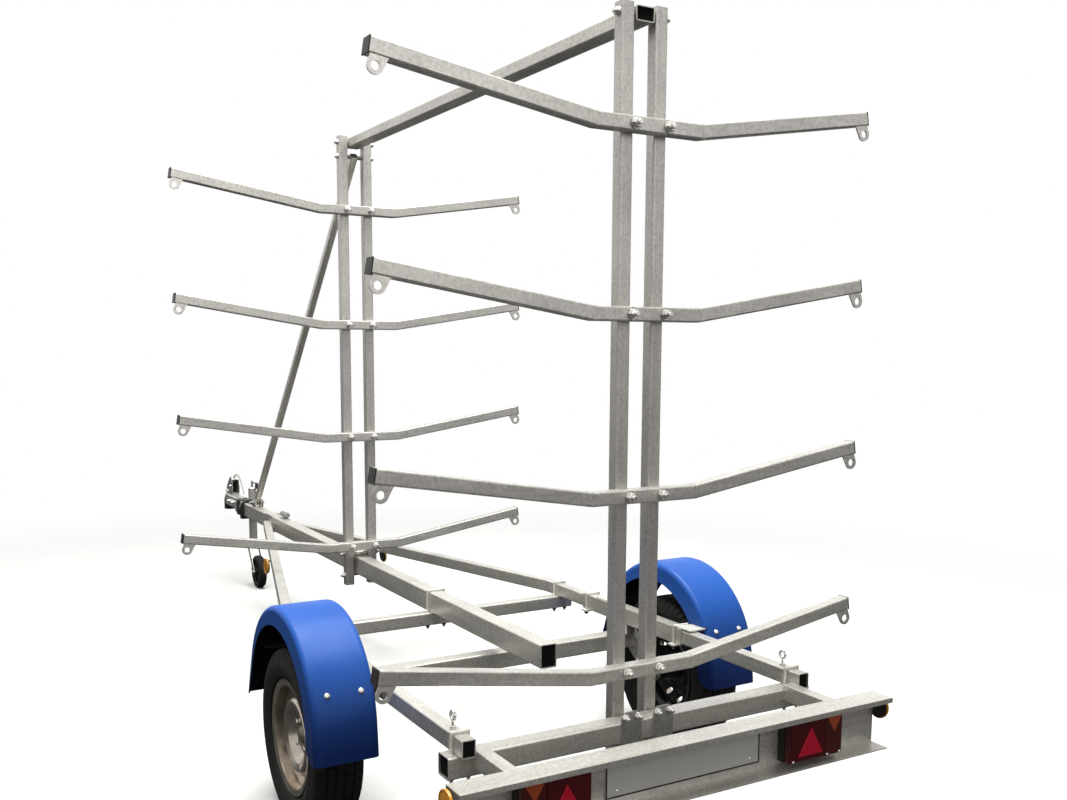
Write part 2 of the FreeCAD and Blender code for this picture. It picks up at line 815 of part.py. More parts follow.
# Masts: two posts each, straddling the beam's width
post_top = size("first_tier") + 3 * size("tier_pitch") + size("mast_head")
for mast, station in (("rear", 0), ("front", size("mast_spacing"))):
    posts = []
    for name, side in SIDES:
        chain = [(side * post_offset, seat - size("rear_beam_height") - size("post_drop"))
                 if mast == "rear" else (side * post_offset, seat - size("post_drop")),
                 (side * post_offset, post_top)]
        post = tube(f"{mast}_post_{name}", "XZ_Plane", chain, size("post_size"), size("post_size"),
                    size("post_wall"))
        posts.append(place(post, 0, ahead(station + arm_size + size("post_size") / 2), 0))
    keep(compound(f"{mast}_mast_posts", posts))

# Rack arms with plastic end plugs and tie down eyes
tip_run = size("arm_half_span") - size("arm_bend")
tip_length = Size(math.hypot(tip_run.value, size("arm_rise").value),
                  f"sqrt({tip_run.text}^2 + Sizes.arm_rise^2)")
slope_cos = tip_run / tip_length
slope_sin = size("arm_rise") / tip_length
arm_chain = [(-1 * size("arm_half_span"), size("arm_rise")), (-1 * size("arm_bend"), 0),
             (size("arm_bend"), 0), (size("arm_half_span"), size("arm_rise"))]


def along_arm(side, back, across):
    """A point measured back from an arm's tip along its slope and across it, upwards."""
    x = side * (size("arm_half_span") - back * slope_cos - across * slope_sin)
    z = size("arm_rise") - back * slope_sin + across * slope_cos
    return x, z


def arm_cap(label, side):
    body = new_body(label)
    lip = new_sketch(body, "XZ_Plane", "Lip")
    half = arm_size / 2
    strip(lip, [along_arm(side, 0, 0), along_arm(side, -1 * size("cap_lip"), 0)], half)
    pad(body, lip, arm_size)
    plug = new_sketch(body, "XZ_Plane", "Plug")
    strip(plug, [along_arm(side, size("cap_plug"), 0), along_arm(side, 0, 0)], half - size("arm_wall"))
    pad(body, plug, arm_size - 2 * size("arm_wall"))
    return body


def tie_eye(label, side):
    """A tapered eye plate, round below, whose straight top edge meets the arm's underside."""
    body = new_body(label)
    half = arm_size / 2
    radius = size("eye_radius")
    plate = new_sketch(body, "XZ_Plane", "Plate")
    inset = size("eye_inset")
    low = -1 * half - size("eye_drop")
    polygon(plate, [along_arm(side, 3, -1 * half), along_arm(side, size("eye_root"), -1 * half),
                    along_arm(side, inset + radius * 0.9, low - radius * 0.4),
                    along_arm(side, inset - radius * 0.97, low + radius * 0.1)])
    pad(body, plate, size("eye_plate"))
    round_end = new_sketch(body, "XZ_Plane", "Round")
    spot = along_arm(side, inset, low)
    circle(round_end, spot[0], spot[1], radius)
    pad(body, round_end, size("eye_plate"))
    hole = new_sketch(body, "XZ_Plane", "Hole")
    circle(hole, spot[0], spot[1], size("eye_bore"))
    pocket(body, hole)
    return body


caps = []
eyes = []
for mast, station in (("rear", 0), ("front", size("mast_spacing"))):
    for tier in range(1, 5):
        height = size("first_tier") + (tier - 1) * size("tier_pitch")
        label = f"rack_arm_{mast}_{tier}"
        middle_y = ahead(station + arm_size / 2)
        keep(place(tube(label, "XZ_Plane", arm_chain, arm_size, arm_size, size("arm_wall")),
                   0, middle_y, height))
        for name, side in SIDES:
            caps.append(place(arm_cap(f"cap_{mast}_{tier}_{name}", side), 0, middle_y, height))
            eye_y = ahead(station + size("eye_plate") / 2)
            eyes.append(place(tie_eye(f"eye_{mast}_{tier}_{name}", side), 0, eye_y, height))
keep(compound("arm_caps", caps))
keep(compound("tie_down_eyes", eyes))

# Ridge beam between the mast tops
ridge_z = post_top - size("ridge_below_top") - size("ridge_height") / 2
ridge_front = size("mast_spacing") + arm_size + size("post_size")
keep(place(tube("ridge_beam", "YZ_Plane", [(ahead(ridge_front), 0), (ahead(arm_size), 0)],
                size("ridge_height"), size("ridge_width"), size("ridge_wall")), 0, 0, ridge_z))

# Diagonal brace from the drawbar to the front mast's head
brace_head = size("mast_spacing") + arm_size + size("post_size") / 2
brace_chain = [(ahead_of_beam(size("brace_foot_ahead")), beam_top + size("brace_foot_rise")),
               (ahead(brace_head), ridge_z - size("brace_head_drop"))]
keep(tube("brace_tube", "YZ_Plane", brace_chain, size("brace_size"), size("brace_size"), size("brace_wall"),
          corner=3))
foot = ahead_of_beam(size("brace_foot_ahead"))
brace_lugs = [bar(f"brace_lug_{name}", side * (size("brace_size") / 2 + 2.5) - 2.5, foot - 25, beam_top,
                  5, 70, size("brace_foot_rise") + 20) for name, side in SIDES]
keep(compound("brace_foot", brace_lugs))


# U-bolts that clamp the beam and the rails down
def u_bolt(label, x, station, width, low, high):
    """A rod bent over a tube of a given width, its legs ending at the low height."""
    body = new_body(label)
    path = new_sketch(body, "XZ_Plane", "Path")
    reach = width / 2 + rod_radius
    crown = high + rod_radius
    corners = [(-1 * reach, low), (-1 * reach, crown), (reach, crown), (reach, low)]
    spots = [(as_size(a), as_size(b)) for a, b in corners]
    for (a, b), (c, d) in zip(spots, spots[1:]):
        path.addGeometry(Part.LineSegment(Vector(a.value, b.value, 0), Vector(c.value, d.value, 0)))
    for index in range(3):
        pin(path, index, 1, *spots[index])
        if index:
            constrain(path, "Coincident", index - 1, 2, index, 1)
    pin(path, 2, 2, *spots[3])
    section = new_sketch(body, "XY_Plane", "Section")
    circle(section, -1 * reach, 0, rod_radius)
    section.AttachmentOffset = Placement(Vector(0, 0, as_size(low).value), Rotation())
    section.setExpression(".AttachmentOffset.Base.z", as_size(low).text)
    pipe = body.newObject("PartDesign::AdditivePipe", "Rod")
    pipe.Profile = section
    pipe.Spine = (path, ["Edge1", "Edge2", "Edge3"])
    pipe.Transition = "Right corner"
    doc.recompute()
    return place(body, x, ahead(station), 0)


u_bolts = [u_bolt("u_bolt_beam", 0, size("cross_ahead"), size("beam_width"),
                  seat - size("cross_height") - 18, beam_top)]
for name, side in SIDES:
    spot = side * rail_offset
    u_bolts.append(u_bolt(f"u_bolt_cross_{name}", spot, size("cross_ahead"), size("rail_width"),
                          seat - size("cross_height") - 18, rail_top))
    u_bolts.append(u_bolt(f"u_bolt_rear_{name}", spot, rear_beam_ahead, size("rail_width"),
                          seat - size("rear_beam_height") - 18, rail_top))
axle_middle = (size("axle_ahead") + size("wheel_ahead")) / 2
bracket_low = seat - size("axle_bracket_wall")
strap_half = rail_half + size("axle_bracket_wall")
strap = size("strap_plate")
for name, side in SIDES:
    spot = side * rail_offset
    for place_name, along in (("front", 1), ("rear", -1)):
        station = axle_middle + along * (size("axle_bracket_length") / 2 - size("strap_inset"))
        u_bolts.append(u_bolt(f"u_bolt_axle_{place_name}_{name}", spot, station, 2 * strap_half,
                              bracket_low - strap - 12, rail_top + size("axle_bracket_wall")))
        flat = bar(f"strap_{place_name}_{name}", spot - size("strap_length") / 2, ahead(station) - 16,
                   bracket_low - strap, size("strap_length"), 32, strap)
        holes = [rod(f"strap_hole_{place_name}_{name}_{end}", spot + end * (strap_half + rod_radius),
                     ahead(station), bracket_low - strap - 1, clearance_hole, strap + 2) for end in (1, -1)]
        u_bolts.append(cut(f"strap_cut_{place_name}_{name}", flat,
                           fuse(f"strap_holes_{place_name}_{name}", holes)))
keep(compound("chassis_u_bolts", u_bolts))


def eye_bolt(name, side):
    """An eye bolt that stands on a rail behind the rear mast, its ring facing sideways."""
    x = side * rail_offset
    y = ahead(size("eye_bolt_ahead"))
    ring = doc.addObject("Part::Torus", f"eye_ring_{name}")
    bind(ring, "Radius1", size("eye_bolt_ring"))
    bind(ring, "Radius2", size("eye_bolt_wire"))
    place(ring, x, y, rail_top + size("eye_bolt_rise"), Rotation(Vector(0, 1, 0), 90))
    return fuse(f"eye_bolt_{name}", [
        rod(f"eye_nut_{name}", x, y, rail_top, 9, 7),
        rod(f"eye_shank_{name}", x, y, rail_top, size("eye_bolt_wire") * 0.8,
            size("eye_bolt_rise") - size("eye_bolt_ring") - 1), ring])


keep(compound("rail_eye_bolts", [eye_bolt(name, side) for name, side in SIDES]))

# Light bar: a channel open to the rear, on two stubs
web_y = ahead(rear_beam_back - size("light_bar_gap"))
light_top = seat + size("light_bar_rise")


def light_bar():
    body = new_body("light_bar")
    section = new_sketch(body, "YZ_Plane", "Section")
    wall = size("light_bar_wall")
    back = web_y + size("light_bar_depth")
    low = light_top - size("light_bar_height")
    lip = light_top - size("light_bar_lip")
    ledge = back - 12
    polygon(section, [(web_y, low), (ledge, low), (ledge, low + wall), (web_y + wall, low + wall),
                      (web_y + wall, light_top - wall), (back - wall, light_top - wall),
                      (back - wall, lip), (back, lip), (back, light_top), (web_y, light_top)])
    pad(body, section, 2 * size("light_bar_half"))
    return body


keep(light_bar())
stubs = []
for name, side in SIDES:
    chain = [(side * size("stub_offset"), ahead(rear_beam_back)), (side * size("stub_offset"), web_y)]
    stub = tube(f"stub_{name}", "XY_Plane", chain, size("stub_width"), size("stub_height"), size("rail_wall"),
                corner=3)
    stubs.append(place(stub, 0, 0, light_top - size("stub_height") / 2))
keep(compound("light_bar_stubs", stubs))

# Lamps in the channel: a dark base, an amber outer lens, a red inner lens and a raised triangle
lamp_y = web_y + size("light_bar_wall")
lamp_low = light_top - size("light_bar_wall") - 8 - size("lamp_height")
lamp_high = lamp_low + size("lamp_height")
lens_y = lamp_y + size("lamp_base")
lens_thick = size("lamp_depth") - size("lamp_base")
lamp_outer = size("lamp_inner") + size("lamp_length")
lens_split = lamp_outer - size("lamp_outer_lens")


def slab(label, corners, y, thick, rounding=None):
    """A plate drawn in the XZ plane, its back at y; the rounding softens its rear rim."""
    body = new_body(label)
    face = new_sketch(body, "XZ_Plane", "Face")
    polygon(face, corners)
    block = pad(body, face, thick)
    if rounding:
        reach = thick.value / 2 - 0.1
        fillet(body, block, rounding, lambda edge: edge.BoundBox.YMax > reach
               and edge.BoundBox.YLength < 0.1)
    return place(body, 0, y + thick / 2, 0)


def lamp_box(label, side, near, far, trim, y, thick, rounding=None):
    low, high = lamp_low + trim, lamp_high - trim
    return slab(label, [(side * near, low), (side * far, low), (side * far, high), (side * near, high)],
                y, thick, rounding)


lamp_bases = []
amber_lenses = []
triangles = []
for name, side in SIDES:
    lamp_bases.append(lamp_box(f"lamp_base_{name}", side, size("lamp_inner"), lamp_outer, 0, lamp_y,
                               size("lamp_base")))
    keep(lamp_box(f"lamp_{name}", side, size("lamp_inner") + 2, lens_split, 2, lens_y, lens_thick, 5))
    amber_lenses.append(lamp_box(f"amber_lens_{name}", side, lens_split, lamp_outer - 2, 2, lens_y,
                                 lens_thick, 5))
    reach = size("reflector_side")
    near = size("lamp_inner") + 30
    triangles.append(slab(f"triangle_{name}", [(side * near, lamp_low + 20),
                                               (side * (near + reach), lamp_low + 20),
                                               (side * (near + reach / 2), lamp_low + 20 + reach * 0.87)],
                          lens_y + lens_thick, as_size(4), 1.5))
keep(compound("lamp_bases", lamp_bases))
keep(compound("amber_lenses", amber_lenses))
keep(compound("lamp_triangles", triangles))
plate_low = light_top - size("light_bar_height") / 2 - size("plate_height") / 2
keep(bar("number_plate", -1 * size("plate_length") / 2, lamp_y, plate_low, size("plate_length"),
         size("plate_thick"), size("plate_height")))
NODES[-1].Label = "number_plate"

# Round side reflectors that face straight out, on tabs at the bent rails and on the light bar's ends
markers = []
tabs = []
flank_angle = math.degrees(math.atan(rail_slope.value))
flank_hypotenuse = Size(math.hypot(1, rail_slope.value), f"sqrt(1 + {rail_slope.text}^2)")
marker_x = rail_offset - rail_slope * (size("marker_ahead") - size("rail_bend_ahead"))
marker_back = marker_x + rail_half * flank_hypotenuse + rail_slope * size("marker_radius") + 4
tab = size("marker_tab")
tab_start = marker_x - 10
for name, side in SIDES:
    thick = size("marker_thick")
    spots = ((f"front_{name}", marker_back, ahead(size("marker_ahead"))),
             (f"rear_{name}", size("light_bar_half") + tab, web_y + 18))
    backs = []
    for label, back, y in spots:
        markers.append(rod(f"marker_{label}", side * (back + thick / 2) - thick / 2, y,
                           size("marker_height"), size("marker_radius"), thick, "x"))
        backs.append(rod(f"marker_back_{label}", side * (back - tab / 2) - tab / 2, y,
                         size("marker_height"), size("marker_radius") - 4, tab, "x"))
    reach = marker_back - tab_start
    arm = bar(f"marker_arm_{name}", side * (tab_start + reach / 2) - reach / 2,
              ahead(size("marker_ahead")) - 15, seat - tab, reach, 30, tab)
    tabs.append(fuse(f"marker_tab_{name}", [backs[0], arm]))
    tabs.append(backs[1])
keep(compound("side_markers", markers))
keep(compound("marker_backs", tabs))

# Coupling: a cup with a ball socket, a pressed shell open below that straddles the beam, and a lever
ball_y = ahead_of_beam(size("coupling_ahead"))
ball_z = seat + size("beam_height") / 2 - size("coupling_drop")
skirt_low = beam_top - size("coupling_skirt")
wall = size("coupling_wall")
head_radius = size("coupling_head_radius")
head_low = ball_z - size("coupling_lip")
head_high = beam_top + size("coupling_crown") - head_low
socket = doc.addObject("Part::Sphere", "coupling_socket")
bind(socket, "Radius", size("ball_radius"))
place(socket, 0, ball_y, ball_z)
throat = rod("coupling_throat", 0, ball_y, head_low - 1, size("ball_radius"), size("coupling_lip") + 1)
cup = new_body("coupling_cup")
cup_profile = new_sketch(cup, "XZ_Plane", "Profile")
polygon(cup_profile, [(0, 0), (head_radius, 0), (head_radius, head_high - 42), (head_radius - 3, head_high - 28),
                      (head_radius - 9, head_high - 14), (head_radius - 16, head_high - 4),
                      (head_radius - 22, head_high), (0, head_high)])
revolve(cup, cup_profile, "Z_Axis")
keep(cut("coupling_head", place(cup, 0, ball_y, head_low), fuse("coupling_voids", [socket, throat])))

shell_front = ball_y + size("coupling_shell_front")
shell_back = ahead_of_beam(-1 * size("coupling_shell_lap"))
shell = new_body("coupling_pressing")
shell_section = new_sketch(shell, "XZ_Plane", "Section")
outside = beam_half + wall
shell_top = beam_top + size("coupling_crown")
polygon(shell_section, [(-1 * outside, skirt_low), (-1 * beam_half, skirt_low), (-1 * beam_half, beam_top),
                        (beam_half, beam_top), (beam_half, skirt_low), (outside, skirt_low),
                        (outside, shell_top), (-1 * outside, shell_top)])
shell_pad = pad(shell, shell_section, shell_back - shell_front)
crest = shell_top.value
fillet(shell, shell_pad, 8, lambda edge: edge.BoundBox.ZMin > crest - 0.1 and edge.BoundBox.YLength > 20)
place(shell, 0, (shell_front + shell_back) / 2, 0)
keep(cut("coupling_shell", shell, cup))

handle = new_body("coupling_handle")
lever = new_sketch(handle, "YZ_Plane", "Lever")
handle_z = beam_top + size("coupling_crown")
reach = size("handle_length")
polygon(lever, [(ball_y - 12, handle_z), (ball_y + 140, handle_z), (ball_y + 150, handle_z + reach * 0.42),
                (ball_y + 136, handle_z + reach * 0.86), (ball_y + 124, handle_z + reach * 0.97),
                (ball_y + 108, handle_z + reach), (ball_y + 92, handle_z + reach * 0.96),
                (ball_y + 74, handle_z + reach * 0.86), (ball_y + 14, handle_z + reach * 0.42)])
pad(handle, lever, size("handle_width"))
inside = new_sketch(handle, "YZ_Plane", "Inside")
polygon(inside, [(ball_y + 4, handle_z + 12), (ball_y + 160, handle_z + 12), (ball_y + 160, handle_z + reach * 0.84),
                 (ball_y + 84, handle_z + reach * 0.84), (ball_y + 24, handle_z + reach * 0.42)])
pocket(handle, inside, size("handle_width") - 2 * size("handle_wall"))
keep(handle)

# Jockey wheel: a clamp on the beam's right side, an outer tube, and the turning fork with its wheel
jockey_x = -1 * size("jockey_side")
jockey_y = ahead_of_beam(size("jockey_ahead"))
jockey_radius = size("jockey_tube_radius")
clamp_low = seat - size("clamp_drop")
clamp_height = size("beam_height") + size("clamp_drop") + 6
band = size("clamp_band")
collar_y = jockey_y + size("collar_gap")
clamp_outer = fuse("jockey_clamp_outer", [
    bar("clamp_block", jockey_x, jockey_y - band / 2, seat - 6, size("jockey_side") + beam_half + 6, band,
        size("beam_height") + 12),
    bar("clamp_foot", jockey_x + 6, jockey_y - band / 2 + 8, clamp_low, size("jockey_side") + 12, band - 16,
        size("clamp_drop")),
    rod("clamp_ring", jockey_x, jockey_y, clamp_low, jockey_radius + 8, clamp_height)])
keep(cut("jockey_clamp", clamp_outer, fuse("clamp_voids", [
    rod("clamp_bore", jockey_x, jockey_y, clamp_low - 1, jockey_radius, clamp_height + 2),
    bar("clamp_window", -1 * beam_half, jockey_y - band, seat, size("beam_width"), 2 * band,
        size("beam_height"))])))
keep(cut("beam_collar", rod("collar_disc", 0, collar_y, seat + size("beam_height") / 2, size("collar_radius"),
                            size("collar_thick"), "y"),
         bar("collar_window", -1 * beam_half, collar_y - 1, seat, size("beam_width"),
             size("collar_thick") + 2, size("beam_height"))))
tube_length = size("jockey_tube_high") - size("jockey_tube_low")
keep(cut("jockey_tube",
         rod("jockey_tube_outer", jockey_x, jockey_y, size("jockey_tube_low"), jockey_radius, tube_length),
         rod("jockey_tube_bore", jockey_x, jockey_y, size("jockey_tube_low") - 1,
             jockey_radius - size("jockey_tube_wall"), tube_length - size("jockey_tube_wall") + 1)))
crank_top = size("jockey_tube_high")
keep(fuse("jockey_crank", [
    rod("crank_cap", jockey_x, jockey_y, crank_top, 20, 12),
    rod("crank_boss", jockey_x, jockey_y, crank_top + 12, 11, 12),
    rod("crank_stem", jockey_x, jockey_y, crank_top + 22, 6, 38),
    rod("crank_lever", jockey_x, jockey_y - 3, crank_top + 53, 4.5, 107, "y"),
    rod("crank_grip", jockey_x, jockey_y + 104, crank_top + 22, 8, 38)]))

jockey_wheel_z = size("jockey_wheel_radius")
jockey_wheel_y = jockey_y + size("jockey_trail")
cheek = size("jockey_wheel_width") / 2 + size("fork_gap")
fork_top = size("jockey_tube_low") - 6
crown_bottom = fork_top - 6
fork_parts = [
    rod("fork_stem", jockey_x, jockey_y, fork_top - 1,
        jockey_radius - size("jockey_tube_wall") - size("running_gap"), 160),
    bar("fork_crown", jockey_x - cheek - size("fork_plate"), jockey_y - 24, crown_bottom,
        2 * (cheek + size("fork_plate")), 48, 6)]
for name, side in SIDES:
    blade = new_body(f"fork_cheek_{name}")
    outline = new_sketch(blade, "YZ_Plane", "Outline")
    polygon(outline, [(jockey_y - 22, crown_bottom + 1), (jockey_wheel_y - 17, jockey_wheel_z),
                      (jockey_wheel_y - 8, jockey_wheel_z - 14), (jockey_wheel_y + 8, jockey_wheel_z - 14),
                      (jockey_wheel_y + 17, jockey_wheel_z), (jockey_y + 22, crown_bottom + 1)])
    pad(blade, outline, size("fork_plate"))
    fork_parts.append(place(blade, jockey_x + side * (cheek + size("fork_plate") / 2), 0, 0))
fork_parts.append(rod("fork_pin", jockey_x - cheek - 8, jockey_wheel_y, jockey_wheel_z,
                      size("jockey_pin_radius"), 2 * cheek + 16, "x"))
keep(fuse("jockey_fork", fork_parts))

roller = new_body("jockey_wheel")
profile = new_sketch(roller, "XY_Plane", "Profile")
half = size("jockey_wheel_width") / 2
bore = size("jockey_pin_radius") + size("running_gap")
outer = size("jockey_wheel_radius")
polygon(profile, [(-1 * half, bore), (-1 * half, 20), (-7, 24), (-7, 66), (-1 * half + 4, 70),
                  (-1 * half, 76), (-1 * half + 2, outer - 8), (-1 * half + 12, outer),
                  (half - 12, outer), (half - 2, outer - 8), (half, 76), (half - 4, 70), (7, 66), (7, 24),
                  (half, 20), (half, bore)])
revolve(roller, profile, "X_Axis")
keep(place(roller, jockey_x, jockey_wheel_y, jockey_wheel_z))

# Clamp plates behind the rear posts, cross bolts through the front posts, sleeves at the mast tops
clamps = []
for name, side in SIDES:
    plate = new_body(f"rear_clamp_{name}")
    outline = new_sketch(plate, "XZ_Plane", "Outline")
    half = size("clamp_plate_width") / 2
    middle = side * post_offset
    low = seat - size("rear_beam_height") - 36
    high = seat + size("clamp_plate_rise")
    polygon(outline, [(middle - half + 6, low), (middle + half - 6, low), (middle + half, low + 6),
                      (middle + half, high - 18), (middle + half - 6, high - 5), (middle + half - 16, high),
                      (middle - half + 16, high), (middle - half + 6, high - 5),
                      (middle - half, high - 18), (middle - half, low + 6)])
    pad(plate, outline, size("clamp_plate_thick"))
    clamps.append(place(plate, 0, ahead(rear_beam_back) + size("clamp_plate_thick") / 2, 0))
mast_gap = 2 * (post_offset - size("post_size") / 2)
front_post_ahead = size("mast_spacing") + arm_size + size("post_size") / 2
for level, height in (("upper", beam_top + 6), ("lower", seat - 6)):
    clamps.append(rod(f"front_clamp_{level}", -1 * mast_gap / 2, ahead(front_post_ahead), height, 6,
                      mast_gap, "x"))
for mast, station in (("rear", 0), ("front", size("mast_spacing"))):
    for name, side in SIDES:
        washer = size("post_washer")
        clamps.append(rod(f"ridge_washer_{mast}_{name}", side * (beam_half + washer / 2) - washer / 2,
                          ahead(station + arm_size + size("post_size") / 2), ridge_z, 15, washer, "x"))
brace_half = size("brace_size") / 2
sleeve = mast_gap / 2 - brace_half
for name, side in SIDES:
    clamps.append(rod(f"brace_sleeve_{name}", side * (brace_half + sleeve / 2) - sleeve / 2,
                      ahead(brace_head), ridge_z - size("brace_head_drop") - 8, 9, sleeve, "x"))
keep(compound("mast_clamps", clamps))

doc.recompute()
for item in doc.Objects:
    if "Invalid" in item.State or "Error" in item.State:
        raise RuntimeError(f"{item.Label} failed: {item.State}")
os.makedirs("parts", exist_ok=True)
for node in NODES:
    shape = node.Shape
    if shape.isNull() or not shape.isValid():
        raise RuntimeError(f"{node.Label} has no valid shape")
    shape.exportStep(f"parts/{node.Label}.step")
    box = shape.BoundBox
    print(f"{node.Label:24s} solids {len(shape.Solids):3d} volume {shape.Volume / 1000:10.1f} cm3  "
          f"x {box.XMin:8.1f} {box.XMax:8.1f}  y {box.YMin:8.1f} {box.YMax:8.1f}  "
          f"z {box.ZMin:7.1f} {box.ZMax:7.1f}")
print(len(NODES), "nodes")
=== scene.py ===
import json
import math

import bmesh
import bpy
from mathutils import Matrix, Vector


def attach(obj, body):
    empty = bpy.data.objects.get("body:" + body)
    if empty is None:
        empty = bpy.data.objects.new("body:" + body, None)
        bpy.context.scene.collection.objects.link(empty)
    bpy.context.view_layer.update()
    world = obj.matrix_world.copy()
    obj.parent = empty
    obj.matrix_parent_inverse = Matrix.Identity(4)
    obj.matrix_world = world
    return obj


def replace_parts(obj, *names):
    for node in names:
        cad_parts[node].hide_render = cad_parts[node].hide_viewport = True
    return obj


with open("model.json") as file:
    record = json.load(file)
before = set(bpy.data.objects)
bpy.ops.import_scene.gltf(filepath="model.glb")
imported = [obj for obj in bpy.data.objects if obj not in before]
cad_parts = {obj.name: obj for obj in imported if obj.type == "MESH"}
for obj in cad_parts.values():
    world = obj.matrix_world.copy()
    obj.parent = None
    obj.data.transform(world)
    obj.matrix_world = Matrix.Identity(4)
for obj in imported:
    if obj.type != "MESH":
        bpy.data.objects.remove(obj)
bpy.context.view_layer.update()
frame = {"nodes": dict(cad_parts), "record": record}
nodes = frame["nodes"]
scene = bpy.context.scene

# Sizes that several pieces share, in metres, the angle in degrees. The y values here and in the
# meshes are the layout's own: its zero lies LAYOUT_SHIFT from the frame's origin, and Pile.finish
# moves each mesh there.
LAYOUT_SHIFT = -0.0485
SIDES = (1, -1)
TIERS = (0.59, 1.09, 1.59, 2.09)
MASTS = ((2.132, 2.172, 2.212), (-0.038, 0.002, 0.042))  # posts' front, arms' front, arms' back
REAR_MAST, FRONT_MAST = 2.152, -0.018
POST_X, POST_OUTSIDE, POST_INSIDE = 0.055, 0.075, 0.035
MAST_TOP = 2.411
LOW_ROD = 0.549
RAIL_X, ARM_BEND = 0.575, 0.174
AXLE_Y, AXLE_Z, WHEEL_X = 1.425, 0.28, 0.72
GUARD_Z, GUARD_RADIUS, GUARD_BOLT_ANGLE = 0.363, 0.335, 24.0
MARKERS = ((0.716, 2.425), (0.30126, -0.488))  # distance from the middle plane, y
MARKER_Z = 0.430
JOCKEY_X, JOCKEY_Y = -0.056, -2.030
ROLLER_Y, ROLLER_Z = -1.920, 0.100


# Materials

def shader(name):
    """A new node material: (material, nodes, links, its Principled shader)."""
    mat = bpy.data.materials.new(name)
    mat.use_nodes = True
    tree = mat.node_tree
    return mat, tree.nodes, tree.links, tree.nodes["Principled BSDF"]


def noise(n, l, scale, detail=3.0, stretch=(1, 1, 1), kind="ShaderNodeTexNoise"):
    """The factor of a texture in the object's own coordinates, in features per metre."""
    coord = n.new("ShaderNodeTexCoord")
    mapping = n.new("ShaderNodeMapping")
    mapping.inputs["Scale"].default_value = stretch
    tex = n.new(kind)
    tex.inputs["Scale"].default_value = scale
    if "Detail" in tex.inputs:
        tex.inputs["Detail"].default_value = detail
    l.new(coord.outputs["Object"], mapping.inputs["Vector"])
    l.new(mapping.outputs["Vector"], tex.inputs["Vector"])
    return tex


def ramp(n, l, source, stops):
    """The colour of a ramp whose stops are (place, colour)."""
    node = n.new("ShaderNodeValToRGB")
    while len(node.color_ramp.elements) < len(stops):
        node.color_ramp.elements.new(0.5)
    for element, (place, colour) in zip(node.color_ramp.elements, stops):
        element.position = place
        element.color = (*colour, 1)
    l.new(source, node.inputs["Fac"])
    return node.outputs["Color"]


def mix(n, l, kind, factor, a, b):
    """Two colours blended; the factor and each colour are an output or a fixed value."""
    node = n.new("ShaderNodeMix")
    node.data_type = "RGBA"
    node.blend_type = kind
    for socket, value in ((node.inputs[0], factor), (node.inputs[6], a), (node.inputs[7], b)):
        if hasattr(value, "links"):
            l.new(value, socket)
        else:
            socket.default_value = value if socket.name == "Factor" else (*value, 1)
    return node.outputs[2]


def bump(n, l, bsdf, height, strength, distance):
    """Surface relief from a height, its distance in metres."""
    node = n.new("ShaderNodeBump")
    node.inputs["Strength"].default_value = strength
    node.inputs["Distance"].default_value = distance
    l.new(height, node.inputs["Height"])
    l.new(node.outputs["Normal"], bsdf.inputs["Normal"])


def galvanised(name, light, dark, metallic, rough=(0.3, 0.5), along=(1, 0.05, 1)):
    """Hot dip zinc: fine spangle, faint cloudy runs and streaks along the tubes."""
    mat, n, l, bsdf = shader(name)
    spangle = noise(n, l, 110, kind="ShaderNodeTexVoronoi")
    mottle = noise(n, l, 120, 3)
    cloud = noise(n, l, 5, 5)
    streak = noise(n, l, 75, 4, along)
    tone = mix(n, l, "MIX", 0.4, ramp(n, l, cloud.outputs["Fac"], ((0.3, dark), (0.7, light))),
               ramp(n, l, streak.outputs["Fac"], ((0.32, dark), (0.68, light))))
    grain = ramp(n, l, spangle.outputs["Color"],
                 ((0.1, (0.84, 0.84, 0.84)), (0.9, (1.07, 1.07, 1.06))))
    runs = ramp(n, l, mottle.outputs["Fac"],
                ((0.36, (0.86, 0.86, 0.87)), (0.60, (1.05, 1.05, 1.04))))
    colour = mix(n, l, "MULTIPLY", 1.0, mix(n, l, "MULTIPLY", 1.0, tone, grain), runs)
    l.new(colour, bsdf.inputs["Base Color"])
    gloss = n.new("ShaderNodeMapRange")
    gloss.inputs["To Min"].default_value = rough[0]
    gloss.inputs["To Max"].default_value = rough[1]
    l.new(streak.outputs["Fac"], gloss.inputs["Value"])
    l.new(gloss.outputs["Result"], bsdf.inputs["Roughness"])
    bsdf.inputs["Metallic"].default_value = metallic
    fine = noise(n, l, 420, 3)
    bump(n, l, bsdf, fine.outputs["Fac"], 0.25, 0.0006)
    return mat


def coated(name, colour, rough=0.5, metallic=0.0, variation=0.12, grain=300, depth=0.0004,
           coat=0.0, specular=0.35):
    """Paint, plastic or rubber: an even colour with soft variation and a fine surface grain."""
    mat, n, l, bsdf = shader(name)
    cloud = noise(n, l, 7, 4)
    low = tuple(c * (1 - variation) for c in colour)
    high = tuple(min(1, c * (1 + variation)) for c in colour)
    l.new(ramp(n, l, cloud.outputs["Fac"], ((0.3, low), (0.7, high))), bsdf.inputs["Base Color"])
    gloss = n.new("ShaderNodeMapRange")
    gloss.inputs["To Min"].default_value = max(0.05, rough - 0.08)
    gloss.inputs["To Max"].default_value = rough + 0.1
    l.new(noise(n, l, 34, 3).outputs["Fac"], gloss.inputs["Value"])
    l.new(gloss.outputs["Result"], bsdf.inputs["Roughness"])
    bsdf.inputs["Metallic"].default_value = metallic
    bsdf.inputs["Coat Weight"].default_value = coat
    bsdf.inputs["Specular IOR Level"].default_value = specular
    bump(n, l, bsdf, noise(n, l, grain, 3).outputs["Fac"], 0.3, depth)
    return mat


